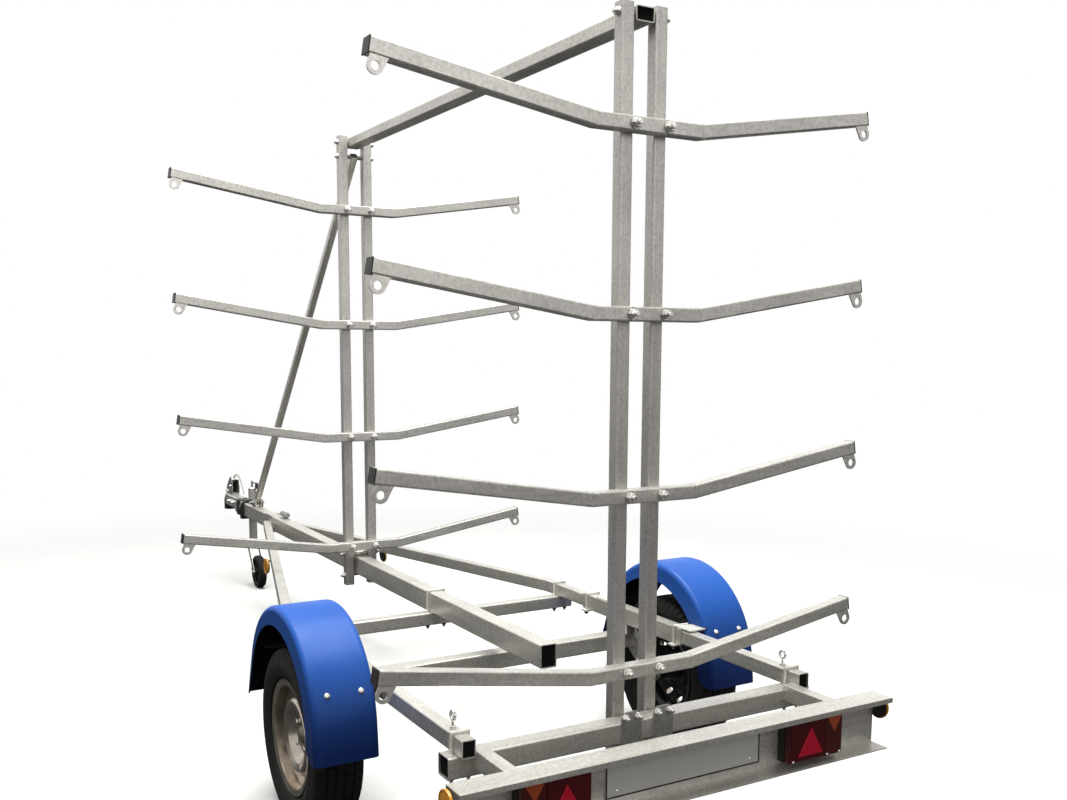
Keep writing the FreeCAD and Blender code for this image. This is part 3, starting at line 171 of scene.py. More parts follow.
def maths(n, l, operation, first, second=None):
    """The result of one operation on outputs or fixed values."""
    node = n.new("ShaderNodeMath")
    node.operation = operation
    for socket, value in zip(node.inputs, (first, second)):
        if hasattr(value, "links"):
            l.new(value, socket)
        elif value is not None:
            socket.default_value = value
    return node.outputs[0]


def place_and_facing(n, l):
    """Outputs x, y, z of the point and of its normal, both in the object's own coordinates."""
    coord = n.new("ShaderNodeTexCoord")
    place = n.new("ShaderNodeSeparateXYZ")
    facing = n.new("ShaderNodeSeparateXYZ")
    l.new(coord.outputs["Object"], place.inputs[0])
    l.new(coord.outputs["Normal"], facing.inputs[0])
    return place.outputs, facing.outputs


def two_sided(name, light, dark, split, rough, metallic, inner=(0.012, 0.012, 0.012)):
    """A colour past split from the middle plane where faces look outwards, elsewhere another: by
    default painted shade.
    """
    mat, n, l, bsdf = shader(name)
    place, facing = place_and_facing(n, l)
    reach = maths(n, l, "ABSOLUTE", place["X"])
    outward = maths(n, l, "MULTIPLY", facing["X"], maths(n, l, "SIGN", place["X"]))
    outer = maths(n, l, "MULTIPLY", maths(n, l, "GREATER_THAN", reach, split),
                  maths(n, l, "GREATER_THAN", outward, -0.35))
    cloud = noise(n, l, 14, 4)
    # The outer colour with a cloudy tone; on the mudguard brackets this colour is painted shade.
    outer_tone = ramp(n, l, cloud.outputs["Fac"], ((0.35, dark), (0.65, light)))
    l.new(mix(n, l, "MIX", outer, inner, outer_tone), bsdf.inputs["Base Color"])
    l.new(maths(n, l, "MULTIPLY", outer, metallic), bsdf.inputs["Metallic"])
    bsdf.inputs["Roughness"].default_value = rough
    bump(n, l, bsdf, noise(n, l, 320, 3).outputs["Fac"], 0.15, 0.0004)
    return mat


def guard_paint_with_shade(name, light, dark, inside):
    """Blue, darker towards the skirts as painted shade; the hollow inside is near-black painted shade.
    """
    mat, n, l, bsdf = shader(name)
    place, facing = place_and_facing(n, l)
    forward = maths(n, l, "SUBTRACT", place["Y"], AXLE_Y + LAYOUT_SHIFT)
    rise = maths(n, l, "SUBTRACT", place["Z"], GUARD_Z)
    radial = maths(n, l, "ADD", maths(n, l, "MULTIPLY", forward, facing["Y"]),
                   maths(n, l, "MULTIPLY", rise, facing["Z"]))
    # Faces that look towards the axle, inside the mudguard, take near-black painted shade.
    hollow = maths(n, l, "LESS_THAN", radial, -0.05)
    # Painted shade: the blue goes from its light colour at z 0.61 to its dark one at z 0.33 and below.
    low = n.new("ShaderNodeMapRange")
    low.inputs["From Min"].default_value = 0.33
    low.inputs["From Max"].default_value = 0.61
    l.new(place["Z"], low.inputs["Value"])
    cloud = noise(n, l, 6, 3)
    tone = mix(n, l, "MIX", low.outputs["Result"], dark, light)
    tone = mix(n, l, "MULTIPLY", 1.0, tone,
               ramp(n, l, cloud.outputs["Fac"],
                    ((0.3, (0.92, 0.92, 0.92)), (0.7, (1.08, 1.08, 1.05)))))
    l.new(mix(n, l, "MIX", hollow, tone, inside), bsdf.inputs["Base Color"])
    gloss = n.new("ShaderNodeMapRange")
    gloss.inputs["To Min"].default_value = 0.28
    gloss.inputs["To Max"].default_value = 0.60
    l.new(noise(n, l, 11, 5).outputs["Fac"], gloss.inputs["Value"])
    l.new(gloss.outputs["Result"], bsdf.inputs["Roughness"])
    bsdf.inputs["Specular IOR Level"].default_value = 0.28
    bump(n, l, bsdf, noise(n, l, 260, 3).outputs["Fac"], 0.25, 0.0003)
    return mat


LIGHT, SHADE = (0.70, 0.675, 0.635), (0.53, 0.51, 0.48)
ZINC_METAL, ZINC_ROUGH = 0.55, (0.30, 0.44)
ALONG_X, ALONG_Z = (0.05, 1, 1), (1, 1, 0.05)
ZINC = galvanised("galvanised_long", LIGHT, SHADE, ZINC_METAL, ZINC_ROUGH)
ZINC_ACROSS = galvanised("galvanised_across", LIGHT, SHADE, ZINC_METAL, ZINC_ROUGH, ALONG_X)
# Darker copies of the zinc for uprights and rack arms: painted shade for faces that catch less light.
SHADED_ZINC_UP = galvanised("galvanised_upright_shaded", (0.60, 0.575, 0.545), (0.45, 0.43, 0.41), ZINC_METAL,
                     ZINC_ROUGH, ALONG_Z)
SHADED_ZINC_ARM = galvanised("galvanised_arm_shaded", (0.64, 0.62, 0.585), (0.48, 0.465, 0.44), ZINC_METAL,
                      ZINC_ROUGH, ALONG_X)
BRIGHT = galvanised("zinc_bright", (0.84, 0.82, 0.79), (0.66, 0.64, 0.61), 0.8, (0.18, 0.32))
STRAP = galvanised("zinc_strap", (0.88, 0.86, 0.82), (0.74, 0.72, 0.69), 0.15, (0.3, 0.42))
# Dull zinc, which on the coupling handle is painted shade for its shadowed inside.
DARK_ZINC = galvanised("zinc_dull_and_shaded", (0.40, 0.40, 0.39), (0.25, 0.25, 0.24), 0.4)
# The mudguards' blue: painted shade darkens the skirts, and the inside is near-black painted shade.
BLUE = guard_paint_with_shade("guard_blue", (0.012, 0.098, 0.46), (0.001, 0.018, 0.125),
                   (0.003, 0.004, 0.009))
RUBBER = coated("tyre_rubber", (0.0155, 0.0148, 0.0138), 0.7, variation=0.25, grain=240,
                depth=0.0006, specular=0.2)
# Wheels and hubs: near-black painted shade on their inner side and on faces that look inwards.
SILVER = two_sided("wheel_silver", (0.56, 0.495, 0.43), (0.36, 0.315, 0.275), 0.732, 0.25, 0.88)
HUB = two_sided("hub_grey", (0.34, 0.30, 0.265), (0.20, 0.18, 0.16), 0.736, 0.34, 0.6)
# Mudguard brackets: zinc towards the middle, dark grey painted shade on the part inside the mudguards.
SHADED_GUARD_BAR = two_sided("guard_bar_shaded", (0.035, 0.036, 0.040), (0.022, 0.022, 0.025), 0.625, 0.45,
                      0.1, (0.62, 0.61, 0.56))
BLACK = coated("black_plastic", (0.019, 0.017, 0.016), 0.45, variation=0.25)
DARK = coated("dark_paint", (0.020, 0.020, 0.022), 0.4, metallic=0.2)
# Near-black painted shade for the insides of the open tubes.
SHADE_FILL = coated("tube_shade_fill", (0.012, 0.012, 0.0115), 0.9, variation=0.3, specular=0.05)
RED = coated("lens_red", (0.105, 0.004, 0.009), 0.2, variation=0.1, coat=0.15)
BRIGHT_RED = coated("reflector_red", (0.80, 0.008, 0.045), 0.25, variation=0.08, coat=0.1)
AMBER = coated("reflector_amber", (0.86, 0.36, 0.025), 0.2, variation=0.06, coat=0.4)
ORANGE = coated("lens_orange", (0.55, 0.095, 0.03), 0.2, variation=0.1, coat=0.4)
BROWN_LENS = coated("lens_deep", (0.10, 0.014, 0.009), 0.2, variation=0.1, coat=0.15)
WHITE = coated("plate_white", (0.72, 0.72, 0.69), 0.45, variation=0.03)

# Each node gets its record slot's material; some get their own finish instead, others painted shade
PAINT = {"galvanised": ZINC, "zinc": BRIGHT, "guard_blue": BLUE, "tyre": RUBBER,
         "jockey_rubber": RUBBER, "wheel_silver": SILVER, "hub_dark": HUB, "black_plastic": BLACK,
         "lamp_red": RED, "amber": AMBER, "plate_white": WHITE, "black_steel": DARK,
         "reflector_red": BRIGHT_RED}
for entry in frame["record"]["subparts"]:
    for item in nodes[entry["node"]].material_slots:
        item.material = PAINT[entry["material_slot"]]
# Painted shade: the posts, the jockey tube and fork and the rack arms get the darker zinc copies.
FINISH_AND_SHADE = {"amber_lenses": BROWN_LENS, "mast_clamps": DARK_ZINC, "rear_mast_posts": SHADED_ZINC_UP,
          "front_mast_posts": SHADED_ZINC_UP, "jockey_tube": SHADED_ZINC_UP, "jockey_fork": SHADED_ZINC_UP,
          "rear_cross_beam": ZINC_ACROSS, "front_cross_member": ZINC_ACROSS, "light_bar": ZINC_ACROSS,
          "axle_tube": ZINC_ACROSS, "guard_brackets": SHADED_GUARD_BAR, "coupling_head": DARK,
          # The coupling handle's dull zinc is painted shade for its shadowed inside.
          "coupling_handle": DARK_ZINC, "jockey_crank": DARK_ZINC, "chassis_u_bolts": STRAP,
          "tie_down_eyes": ZINC, "coupling_shell": ZINC}
FINISH_AND_SHADE.update({f"rack_arm_{mast}_{tier}": SHADED_ZINC_ARM
               for mast in ("front", "rear") for tier in range(1, 5)})
for name, material in FINISH_AND_SHADE.items():
    for item in nodes[name].material_slots:
        item.material = material


# Meshes

class Pile:
    """Many small shapes that become one mesh."""

    def __init__(self):
        self.bm = bmesh.new()

    def add(self, verts, faces, matrix=Matrix()):
        made = [self.bm.verts.new(matrix @ Vector(v)) for v in verts]
        for face in faces:
            self.bm.faces.new([made[i] for i in face])

    def lathe(self, profile, segments, matrix):
        """Turns (radius, height) points about the local z axis; a radius of 0 closes an end."""
        rings = []
        for radius, height in profile:
            if radius == 0:
                rings.append([self.bm.verts.new(matrix @ Vector((0, 0, height)))])
                continue
            turns = (2 * math.pi * i / segments for i in range(segments))
            rings.append([self.bm.verts.new(
                matrix @ Vector((radius * math.cos(a), radius * math.sin(a), height))) for a in turns])
        for low, high in zip(rings, rings[1:]):
            for i in range(segments):
                j = (i + 1) % segments
                if len(low) == 1:
                    self.bm.faces.new((low[0], high[i], high[j]))
                elif len(high) == 1:
                    self.bm.faces.new((low[i], low[j], high[0]))
                else:
                    self.bm.faces.new((low[i], low[j], high[j], high[i]))

    def block(self, low, high, matrix=Matrix()):
        """A box between two corners."""
        x, y, z = zip(low, high)
        verts = [(x[i], y[j], z[k]) for i in (0, 1) for j in (0, 1) for k in (0, 1)]
        self.add(verts, ((0, 1, 3, 2), (4, 6, 7, 5), (0, 4, 5, 1), (2, 3, 7, 6), (0, 2, 6, 4),
                         (1, 5, 7, 3)), matrix)

    def pipe(self, points, radius, segments=8, swell=None):
        """A round bar along points, mitred at its bends."""
        points = [Vector(p) for p in points]
        rings = []
        side = None
        for i, point in enumerate(points):
            before = (point - points[i - 1]).normalized() if i else None
            after = (points[i + 1] - point).normalized() if i + 1 < len(points) else None
            along = ((before or after) + (after or before)).normalized()
            if side is None:
                side = along.orthogonal().normalized()
            side = (side - along * side.dot(along)).normalized()
            other = along.cross(side)
            reach = radius * (swell[i] if swell else 1)
            turns = (2 * math.pi * k / segments for k in range(segments))
            rings.append([self.bm.verts.new(
                point + reach * (math.cos(a) * side + math.sin(a) * other)) for a in turns])
        for low, high in zip(rings, rings[1:]):
            for i in range(segments):
                j = (i + 1) % segments
                self.bm.faces.new((low[i], low[j], high[j], high[i]))
        self.bm.faces.new(rings[0][::-1])
        self.bm.faces.new(rings[-1])

    def finish(self, name, material, body="chassis", bevel=0.0, smooth=35):
        """Moves the mesh to the frame and makes it an object that rides on a body."""
        bmesh.ops.translate(self.bm, verts=self.bm.verts, vec=(0, LAYOUT_SHIFT, 0))
        bmesh.ops.recalc_face_normals(self.bm, faces=self.bm.faces)
        mesh = bpy.data.meshes.new(name)
        self.bm.to_mesh(mesh)
        self.bm.free()
        obj = bpy.data.objects.new(name, mesh)
        scene.collection.objects.link(obj)
        mesh.materials.append(material)
        if bevel:
            soft = obj.modifiers.new("edges", "BEVEL")
            soft.width = bevel
            soft.segments = 2
            soft.limit_method = "ANGLE"
        if smooth:
            mesh.shade_smooth()
            mesh.set_sharp_from_angle(angle=math.radians(smooth))
        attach(obj, body)
        return obj


def towards(point, direction):
    """A matrix whose local z axis points in a direction, at a point."""
    turn = Vector(direction).to_track_quat("Z", "Y").to_matrix().to_4x4()
    return Matrix.Translation(Vector(point)) @ turn


def bolt(pile, point, direction, size=0.005, tail=0.0):
    """A washer and a hexagon, standing on a face; a tail adds the thread's end."""
    at = towards(point, direction)
    washer = size * 2.1
    pile.lathe(((0, 0), (washer, 0), (washer, size * 0.28), (0, size * 0.28)), 20, at)
    hexagon = size * 1.85
    pile.lathe(((0, size * 0.28), (hexagon, size * 0.28), (hexagon, size * 1.6),
                (hexagon * 0.85, size * 1.85), (0, size * 1.85)), 6, at)
    if tail:
        pile.lathe(((0, 0), (size, 0), (size, size * 1.85 + tail), (size * 0.8, size * 2 + tail),
                    (0, size * 2 + tail)), 12, at)


def ring(pile, point, direction, radius, thick, bore=0.0):
    """A flat washer that stands on a face."""
    at = towards(point, direction)
    if bore:
        pile.lathe(((bore, 0), (radius, 0), (radius, thick), (bore, thick), (bore, 0)), 24, at)
    else:
        pile.lathe(((0, 0), (radius, 0), (radius, thick), (0, thick)), 24, at)


def nut(pile, point, direction, bore, height, half=None):
    """A hexagon nut whose two ends are chamfered, round a bar."""
    at = towards(point, direction)
    wide = half or bore * 1.85
    pile.lathe(((0, 0), (wide * 0.9, 0), (wide, height * 0.12), (wide, height * 0.85),
                (wide * 0.85, height), (0, height)), 6, at)


def seam(pile, start, end, radius=0.0009):
    """A weld bead: a low bar whose thickness swells along its run."""
    start, end = Vector(start), Vector(end)
    count = max(6, int((end - start).length / 0.0035))
    pile.pipe([start.lerp(end, i / count) for i in range(count + 1)], radius, 6,
              [1.0 + 0.28 * math.sin(i * 2.1) for i in range(count + 1)])


def dome(pile, point, direction, radius, rise):
    """A round head that stands on a face."""
    at = towards(point, direction)
    crown = [(radius * math.cos(a), rise * math.sin(a)) for a in (0, 0.35, 0.7, 1.05, 1.35)]
    pile.lathe([(0, -0.001), (radius, -0.001)] + crown + [(0, rise)], 20, at)


# Bolts through the arms and the posts
bolts = Pile()
rings = Pile()
for front, joint, back in MASTS:
    for tier in TIERS:
        for side in SIDES:
            bolt(bolts, (side * POST_X, back + 0.0015, tier), (0, 1, 0), 0.0075, 0.009)
            ring(rings, (side * POST_X, back, tier), (0, 1, 0), 0.0178, 0.0015)
            bolt(bolts, (side * POST_X, front, tier), (0, -1, 0), 0.0075)
for y in (REAR_MAST, FRONT_MAST):
    for side in SIDES:
        bolt(bolts, (side * POST_OUTSIDE, y, 2.385), (side, 0, 0), 0.006, 0.006)
for side in SIDES:
    bolt(bolts, (side * POST_OUTSIDE, FRONT_MAST, 2.325), (side, 0, 0), 0.006, 0.004)
    for level in (LOW_ROD, 0.45):
        bolt(bolts, (side * POST_OUTSIDE, FRONT_MAST, level), (side, 0, 0), 0.006, 0.008)
    nut(bolts, (side * POST_INSIDE, FRONT_MAST, LOW_ROD), (-side, 0, 0), 0.006, 0.009)
    nut(bolts, (side * 0.026, FRONT_MAST, LOW_ROD), (-side, 0, 0), 0.006, 0.009)
bolts.pipe(((-0.034, FRONT_MAST, LOW_ROD), (0.034, FRONT_MAST, LOW_ROD)), 0.006, 12)
# Bolts on the clamp plates behind the rear posts
for side in SIDES:
    for across in (-0.0215, 0.0215):
        for z in (0.470, 0.378):
            bolt(bolts, (side * POST_X + across, 2.237, z), (0, 1, 0), 0.0055, 0.009)
bolts.finish("mast_bolts", BRIGHT, bevel=0.0004)
rings.finish("arm_washers", DARK_ZINC)

# Washers and nuts of the U-bolts
tails = Pile()
for side in SIDES:
    legs = [(0.550, 0.812, 0.406), (0.600, 0.812, 0.406), (0.035, 0.812, 0.406),
            (0.550, 2.202, 0.396), (0.600, 2.202, 0.396)]
    legs += [(across, y, 0.446) for across in (0.546, 0.604) for y in (1.0675, 1.6395)]
    for across, y, low in legs:
        x = side * across
        ring(tails, (x, y, low), (0, 0, -1), 0.0105, 0.0016, 0.005)
        nut(tails, (x, y, low - 0.0016), (0, 0, -1), 0.005, 0.0085)
tails.finish("u_bolt_nuts", DARK, bevel=0.0003)

# Near-black blocks recessed behind the tubes' open ends: painted shade for the tubes' dark insides
shade_blocks = Pile()
deep, seen = 0.030, 0.005
for side in SIDES:
    x0, x1 = sorted((side * 0.5578, side * 0.5922))
    shade_blocks.block((x0, 2.257 - deep, 0.4588), (x1, 2.257 - seen, 0.5032))
    for end, y0, y1, z0, z1 in ((0.622, 2.1753, 2.2287, 0.3993, 0.4527),
                                (0.620, 0.7903, 0.8337, 0.4093, 0.4527)):
        x0, x1 = sorted((side * (end - deep), side * (end - seen)))
        shade_blocks.block((x0, y0, z0), (x1, y1, z1))
    for y in (REAR_MAST, FRONT_MAST):
        x0, x1 = sorted((side * 0.0383, side * 0.0717))
        shade_blocks.block((x0, y - 0.0167, MAST_TOP - deep), (x1, y + 0.0167, MAST_TOP - seen))
shade_blocks.block((-0.0267, 1.688 - deep, 0.4593), (0.0267, 1.688 - seen, 0.5327))
shade_blocks.block((-0.0272, 2.172 - deep, 2.3678), (0.0272, 2.172 - seen, 2.4022))
shade_blocks.finish("tube_shade_blocks", SHADE_FILL, smooth=0)

# Weld seams where the arms bend, and round the welded joints of the frame
welds = Pile()
for front, joint, back in MASTS:
    for tier in TIERS:
        for side in SIDES:
            seam(welds, (side * ARM_BEND, joint + 0.001, tier + 0.0205),
                 (side * ARM_BEND, back - 0.001, tier + 0.0205))
            seam(welds, (side * 0.1725, back + 0.0004, tier + 0.019),
                 (side * 0.1755, back + 0.0004, tier - 0.019))
            seam(welds, (side * 0.1725, joint - 0.0004, tier + 0.019),
                 (side * 0.1755, joint - 0.0004, tier - 0.019))
for side in SIDES:
    seam(welds, (side * RAIL_X - 0.019, 0.732, 0.5063), (side * RAIL_X + 0.019, 0.732, 0.5063))
    for y in (2.2335, 2.4055):
        seam(welds, (side * 0.555, y, 0.4725), (side * 0.515, y, 0.4725))
    for y in (-1.299, -1.417):
        seam(welds, (side * 0.036, y, 0.455), (side * 0.036, y, 0.537))
for side in SIDES:
    for y in (1.2515, 1.3125):
        seam(welds, (side * 0.557, y, 0.4095), (side * 0.593, y, 0.4095))
welds.finish("weld_seams", ZINC, smooth=60)

# Round headed bolts that hold the mudguards to their brackets
domes = Pile()
for side in SIDES:
    for x in (0.6645, 0.768):
        for end in (1, -1):
            a = math.radians(GUARD_BOLT_ANGLE)
            normal = (0, end * math.cos(a), math.sin(a))
            dome(domes, (side * x, AXLE_Y + end * GUARD_RADIUS * math.cos(a),
                         GUARD_Z + GUARD_RADIUS * math.sin(a)), normal, 0.0095, 0.0055)
domes.finish("guard_bolts", BRIGHT)

# Tyres with ribs, cuts and a moulded flank
TREAD_CUTS = ((-0.0455, -0.0395), (-0.0175, -0.0125), (0.0125, 0.0175), (0.0395, 0.0455))
PITCHES = 60
LEAN = 0.10


def tyre(name, side):
    """A ring swept from one profile, whose cuts are lowered stretches of the ribs."""
    flank = [(0.0575, 0.1665), (0.0605, 0.172), (0.0625, 0.1845), (0.0675, 0.1900), (0.0735, 0.1935),
             (0.0742, 0.1975), (0.0775, 0.2055), (0.0808, 0.2150), (0.0822, 0.2235), (0.0822, 0.2310),
             (0.0828, 0.2325), (0.0814, 0.2345), (0.0806, 0.2430), (0.0798, 0.2500), (0.0790, 0.2560)]
    shoulder = [(0.0775, 0.2620), (0.0752, 0.2675), (0.0720, 0.2722), (0.0680, 0.2755)]
    tread = [0.0640, 0.0600, 0.0540, 0.0480]
    half = flank + shoulder + [(x, 0.2772 + (0.064 - x) * 0.09) for x in tread]
    inner = []
    for low, high in TREAD_CUTS[2:][::-1]:
        inner += [(high + 0.0006, 0), (high - 0.0006, 1), (low + 0.0006, 1), (low - 0.0006, 0)]
        inner += [((0.0395 + 0.0175) / 2, 0)] if low > 0.03 else [(0.0, 0)]
    middle = [(x, 0.2800 - 0.0006 * (x / 0.05) ** 2 - 0.0065 * deep) for x, deep in inner]
    right_half = half + middle
    profile = right_half + [(-x, r) for x, r in right_half[-2::-1]]
    closing = [(-0.048, 0.1665), (-0.070, 0.225), (-0.058, 0.266), (0.058, 0.266), (0.070, 0.225),
               (0.048, 0.1665)]
    profile += closing
    step = 2 * math.pi / PITCHES
    stops = (0.0, 0.03, 0.13, 0.16, 0.5, 0.53, 0.63, 0.66)
    angles = [(p * step + t * step, i) for p in range(PITCHES) for i, t in enumerate(stops)]

    def cut(x, r, index):
        """Depth of a cross cut at this place: outer and inner ribs are cut at alternate pitches."""
        reach = abs(x)
        if r < 0.262 or reach > 0.0800:
            return 0.0
        if reach > 0.046:
            return 0.0055 if index in (1, 2) else 0.0
        if 0.018 < reach < 0.039:
            return 0.005 if index in (5, 6) else 0.0
        if reach < 0.012:
            return 0.004 if index in (1, 2) else 0.0
        return 0.0

    pile = Pile()
    bm = pile.bm
    rows = []
    for angle, index in angles:
        row = []
        for k, (x, r) in enumerate(profile):
            outside = k < len(profile) - len(closing)
            turn = angle + (LEAN * x / 0.06 * step if outside and r > 0.262 else 0.0)
            radius = r - (cut(x, r, index) if outside else 0.0)
            row.append(bm.verts.new((side * x, radius * math.cos(turn), radius * math.sin(turn))))
        rows.append(row)
    total = len(profile)
    for i, row in enumerate(rows):
        following = rows[(i + 1) % len(rows)]
        for k in range(total):
            j = (k + 1) % total
            bm.faces.new((row[k], row[j], following[j], following[k]))
    for vert in bm.verts:
        vert.co += Vector((side * WHEEL_X, AXLE_Y, AXLE_Z))
    piece = pile.finish(f"tyre_{name}_tread", RUBBER, f"wheel_{name}", smooth=28)
    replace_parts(piece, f"tyre_{name}")


for name, side in (("left", 1), ("right", -1)):
    tyre(name, side)
    wheel = f"wheel_{name}"
    studs = Pile()
    for k in range(4):
        a = math.radians(45 + 90 * k)
        at = (side * 0.742, AXLE_Y + 0.049 * math.cos(a), AXLE_Z + 0.049 * math.sin(a))
        ring(studs, at, (side, 0, 0), 0.0125, 0.002)
        nut(studs, (side * 0.744, at[1], at[2]), (side, 0, 0), 0.0062, 0.012, 0.0098)
    studs.finish(f"wheel_bolts_{name}", BRIGHT, wheel, bevel=0.0004)
    valve = Pile()
    valve.pipe(((side * 0.7475, AXLE_Y + 0.150, AXLE_Z), (side * 0.757, AXLE_Y + 0.1535, AXLE_Z),
                (side * 0.778, AXLE_Y + 0.1545, AXLE_Z)), 0.0034, 10)
    valve.finish(f"valve_{name}", BLACK, wheel)
    cap = Pile()
    cap.lathe(((0, 0), (0.0195, 0), (0.0195, 0.0015), (0.0165, 0.0035), (0, 0.0042)), 28,
              towards((side * 0.754, AXLE_Y, AXLE_Z), (side, 0, 0)))
    cap.finish(f"hub_cap_{name}", HUB, wheel)

# Lamps: clips beside them, screws, orange triangles and the plate's rim
small = Pile()
for side in SIDES:
    x = side * 0.548
    small.block((x - 0.013, 2.410, 0.436), (x + 0.013, 2.4135, 0.462))
    small.block((x - 0.013, 2.4135, 0.436), (x - 0.0095, 2.428, 0.462))
    small.block((x + 0.0095, 2.4135, 0.436), (x + 0.013, 2.428, 0.462))
small.finish("lamp_clips", BLACK, bevel=0.001)
screws = Pile()
for side in SIDES:
    for x, z in ((0.344, 0.337), (0.455, 0.449), (0.475, 0.337), (0.523, 0.337)):
        dome(screws, (side * x, 2.462, z), (0, 1, 0), 0.0042, 0.0022)
    for z in (0.430, 0.356):
        dome(screws, (side * 0.225, 2.413, z), (0, 1, 0), 0.005, 0.003)
screws.finish("lamp_screws", BRIGHT)
orange = Pile()
for side in SIDES:
    low, high = side * 0.4685, side * 0.5305
    corners = [(low, 0.4535), (high, 0.4535), (side * 0.4995, 0.401)]
    orange.add([(x, 2.4615 + lift, z) for lift in (0, 0.0022) for x, z in corners],
               ((0, 1, 2), (3, 4, 5), (0, 1, 4, 3), (1, 2, 5, 4), (2, 0, 3, 5)))
orange.finish("lamp_orange_triangles", ORANGE, bevel=0.0006)
rim = Pile()
for x0, x1, z0, z1 in ((-0.260, 0.260, 0.338, 0.342), (-0.260, 0.260, 0.444, 0.448),
                       (-0.260, -0.256, 0.342, 0.444), (0.256, 0.260, 0.342, 0.444)):
    rim.block((x0, 2.4129, z0), (x1, 2.4145, z1))
rim.finish("plate_rim", BLACK, bevel=0.0005)

# Side reflectors with a rim and a domed lens
lenses = Pile()
for side in SIDES:
    for back, y in MARKERS:
        lenses.lathe(((0, 0), (0.038, 0), (0.038, 0.0055), (0.0372, 0.0072), (0.0345, 0.0075),
                      (0.0332, 0.0058), (0.028, 0.0071), (0.017, 0.0085), (0, 0.009)), 48,
                     towards((side * back, y, MARKER_Z), (side, 0, 0)))
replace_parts(lenses.finish("side_reflectors", AMBER), "side_markers")

# Coupling: cross bolts, the lever's pivots and the grip wire
head = Pile()
for y in (-2.145, -2.225):
    for side in SIDES:
        bolt(head, (side * 0.035, y, 0.512), (side, 0, 0), 0.0058, 0.006)
for side in SIDES:
    bolt(head, (side * 0.023, -2.322, 0.566), (side, 0, 0), 0.005, 0.004)
    bolt(head, (side * 0.023, -2.232, 0.606), (side, 0, 0), 0.0045, 0.003)
head.finish("coupling_bolts", BRIGHT, bevel=0.0004)
grip = Pile()
grip.pipe([(0.0, -2.240 + 0.200 * t + 0.030 * t * t,
            0.660 + 0.045 * math.sin(t * 2.6) - 0.105 * t * t) for t in (i / 14 for i in range(15))],
          0.0034, 10)
grip.finish("coupling_grip_wire", DARK_ZINC)

# Jockey wheel: cap, crank grip, clamp screw, pin nuts and spokes
caps = Pile()
caps.lathe(((0, 0), (0.0215, 0), (0.0235, 0.003), (0.0235, 0.012), (0.019, 0.018), (0.012, 0.021),
            (0, 0.021)), 32, towards((JOCKEY_X, JOCKEY_Y, 0.5965), (0, 0, 1)))
caps.finish("jockey_cap", BRIGHT)
knobs = Pile()
knobs.lathe(((0, -0.0005), (0.0095, -0.0005), (0.0104, 0.004), (0.0096, 0.032), (0.0068, 0.0375),
             (0, 0.038)), 24, towards((JOCKEY_X, -1.926, 0.6175), (0, 0, 1)))
knobs.finish("jockey_knobs", BLACK)
screw = Pile()
screw.pipe(((-0.088, JOCKEY_Y, 0.495), (-0.122, JOCKEY_Y, 0.495)), 0.006, 12)
screw.pipe(((-0.118, JOCKEY_Y, 0.457), (-0.118, JOCKEY_Y, 0.533)), 0.0055, 12)
screw.finish("clamp_screw", DARK)
fork_nuts = Pile()
for side in SIDES:
    x = JOCKEY_X + side * 0.034
    ring(fork_nuts, (x, ROLLER_Y, ROLLER_Z), (side, 0, 0), 0.013, 0.0016, 0.006)
    nut(fork_nuts, (x + side * 0.0016, ROLLER_Y, ROLLER_Z), (side, 0, 0), 0.006, 0.008)
fork_nuts.finish("jockey_pin_nuts", BRIGHT, "jockey_swivel", bevel=0.0003)
spokes = Pile()
for side in SIDES:
    for k in range(6):
        a = math.radians(60 * k + 10)
        turn = Matrix.Translation((JOCKEY_X, ROLLER_Y, ROLLER_Z)) @ Matrix.Rotation(a, 4, "X")
        low, high = sorted((side * 0.0068, side * 0.0150))
        spokes.block((low, 0.0235, -0.0035), (high, 0.068, 0.0035), turn)
spokes.finish("jockey_spokes", BLACK, "jockey_roller", bevel=0.0015)

# Bolts through the brace's foot, and the plug's holder on the beam
foot = Pile()
for side in SIDES:
    bolt(foot, (side * 0.020, -1.738, 0.560), (side, 0, 0), 0.007, 0.010)
    bolt(foot, (side * 0.020, -1.706, 0.566), (side, 0, 0), 0.006, 0.006)
foot.finish("brace_bolts", DARK_ZINC, bevel=0.0004)
holder = Pile()
holder.block((-0.0290, -1.262, 0.536), (0.004, -1.160, 0.539))
holder.block((-0.0270, -1.216, 0.539), (-0.006, -1.208, 0.552))
holder.lathe(((0, 0), (0.010, 0), (0.0140, 0.004), (0.0140, 0.078), (0.0165, 0.080),
              (0.0165, 0.090), (0.012, 0.098), (0, 0.098)), 28,
             towards((-0.017, -1.276, 0.5580), (0, 1, 0)))
holder.finish("plug_holder", DARK_ZINC, bevel=0.0008)

# Camera at the photograph's viewpoint
yaw, pitch, roll = (math.radians(a) for a in (-30.01, -6.90, 0.25))
ahead = Vector((math.sin(yaw) * math.cos(pitch), -math.cos(yaw) * math.cos(pitch), math.sin(pitch)))
right = ahead.cross(Vector((0, 0, 1))).normalized()
up = right.cross(ahead)
right, up = (right * math.cos(roll) + up * math.sin(roll), up * math.cos(roll) - right * math.sin(roll))
camera_data = bpy.data.cameras.new("camera")
camera_data.lens = 36.30
camera_data.sensor_width = 36
camera_data.shift_y = 0.0703
camera_data.clip_end = 200
camera = bpy.data.objects.new("camera", camera_data)
scene.collection.objects.link(camera)
camera.matrix_world = Matrix.Translation((1.755, 4.622 + LAYOUT_SHIFT, 1.506)) @ Matrix(
    (right, up, -ahead)).transposed().to_4x4()
scene.camera = camera

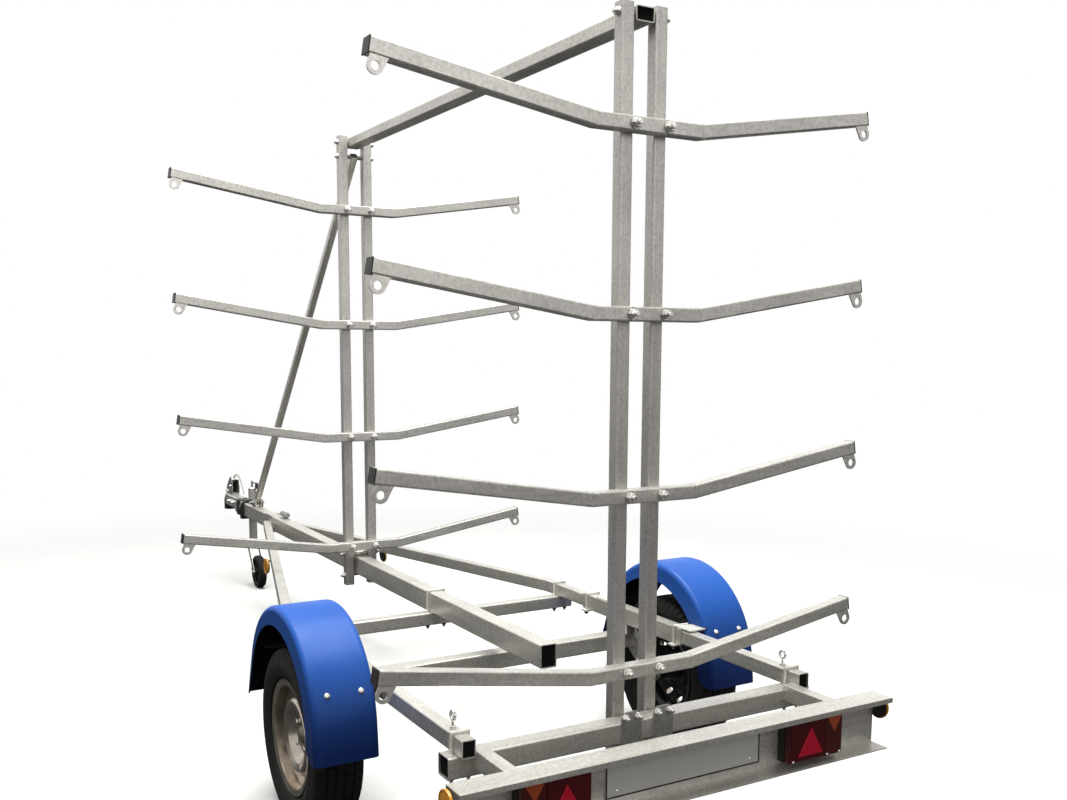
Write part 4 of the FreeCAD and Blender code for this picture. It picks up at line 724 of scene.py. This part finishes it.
# Floor, world and lamps
floor_mesh = bpy.data.meshes.new("floor")
floor_mesh.from_pydata([(-60, -60, 0), (60, -60, 0), (60, 60, 0), (-60, 60, 0)], [], [(0, 1, 2, 3)])
floor = bpy.data.objects.new("floor", floor_mesh)
scene.collection.objects.link(floor)
mat, n, l, bsdf = shader("floor_pale")
bsdf.inputs["Roughness"].default_value = 0.9
bsdf.inputs["Specular IOR Level"].default_value = 0.1
path = n.new("ShaderNodeLightPath")
shade = n.new("ShaderNodeMix")
shade.data_type = "RGBA"
shade.inputs[6].default_value = (0.05, 0.05, 0.05, 1)
shade.inputs[7].default_value = (0.93, 0.93, 0.93, 1)
l.new(path.outputs["Is Camera Ray"], shade.inputs[0])
l.new(shade.outputs[2], bsdf.inputs["Base Color"])
coord = n.new("ShaderNodeTexCoord")
distance = n.new("ShaderNodeVectorMath")
distance.operation = "LENGTH"
l.new(coord.outputs["Object"], distance.inputs[0])
fade = n.new("ShaderNodeMapRange")
fade.interpolation_type = "SMOOTHSTEP"
fade.inputs["From Min"].default_value = 2.6
fade.inputs["From Max"].default_value = 5.5
l.new(distance.outputs["Value"], fade.inputs["Value"])
white = n.new("ShaderNodeEmission")
seen_far = n.new("ShaderNodeMath")
seen_far.operation = "MULTIPLY"
l.new(fade.outputs["Result"], seen_far.inputs[0])
l.new(path.outputs["Is Camera Ray"], seen_far.inputs[1])
blend = n.new("ShaderNodeMixShader")
l.new(seen_far.outputs[0], blend.inputs["Fac"])
l.new(bsdf.outputs[0], blend.inputs[1])
l.new(white.outputs[0], blend.inputs[2])
l.new(blend.outputs[0], n["Material Output"].inputs["Surface"])
floor_mesh.materials.append(mat)

world = bpy.data.worlds.new("studio")
scene.world = world
world.use_nodes = True
n, l = world.node_tree.nodes, world.node_tree.links
back = n["Background"]
back.inputs["Color"].default_value = (0.90, 0.885, 0.88, 1)
back.inputs["Strength"].default_value = 0.17
seen = n.new("ShaderNodeBackground")
seen.inputs["Color"].default_value = (1, 1, 1, 1)
path = n.new("ShaderNodeLightPath")
either = n.new("ShaderNodeMath")
either.operation = "MAXIMUM"
l.new(path.outputs["Is Camera Ray"], either.inputs[0])
l.new(path.outputs["Is Glossy Ray"], either.inputs[1])
blend = n.new("ShaderNodeMixShader")
l.new(either.outputs[0], blend.inputs["Fac"])
l.new(back.outputs[0], blend.inputs[1])
l.new(seen.outputs[0], blend.inputs[2])
l.new(blend.outputs[0], n["World Output"].inputs["Surface"])


def lamp(name, where, target, width, power, colour):
    """A square area lamp that points at a target."""
    data = bpy.data.lights.new(name, "AREA")
    data.size = width
    data.energy = power
    data.color = colour
    obj = bpy.data.objects.new(name, data)
    scene.collection.objects.link(obj)
    obj.matrix_world = Matrix.Translation(where) @ (Vector(target) - Vector(where)).to_track_quat(
        "-Z", "Y").to_matrix().to_4x4()


lamp("overhead", (0.3, 1.0, 7.5), (0, 1.0, 0.4), 6.0, 980, (0.98, 1.0, 0.95))
lamp("side", (-1.0, 9.0, 3.4), (0, 0.8, 0.9), 4.0, 75, (1.0, 0.97, 0.96))
lamp("flank", (5.0, 3.6, 5.0), (0.6, 1.0, 0.4), 3.0, 45, (1.0, 0.97, 0.96))
scene.view_settings.view_transform = "Standard"
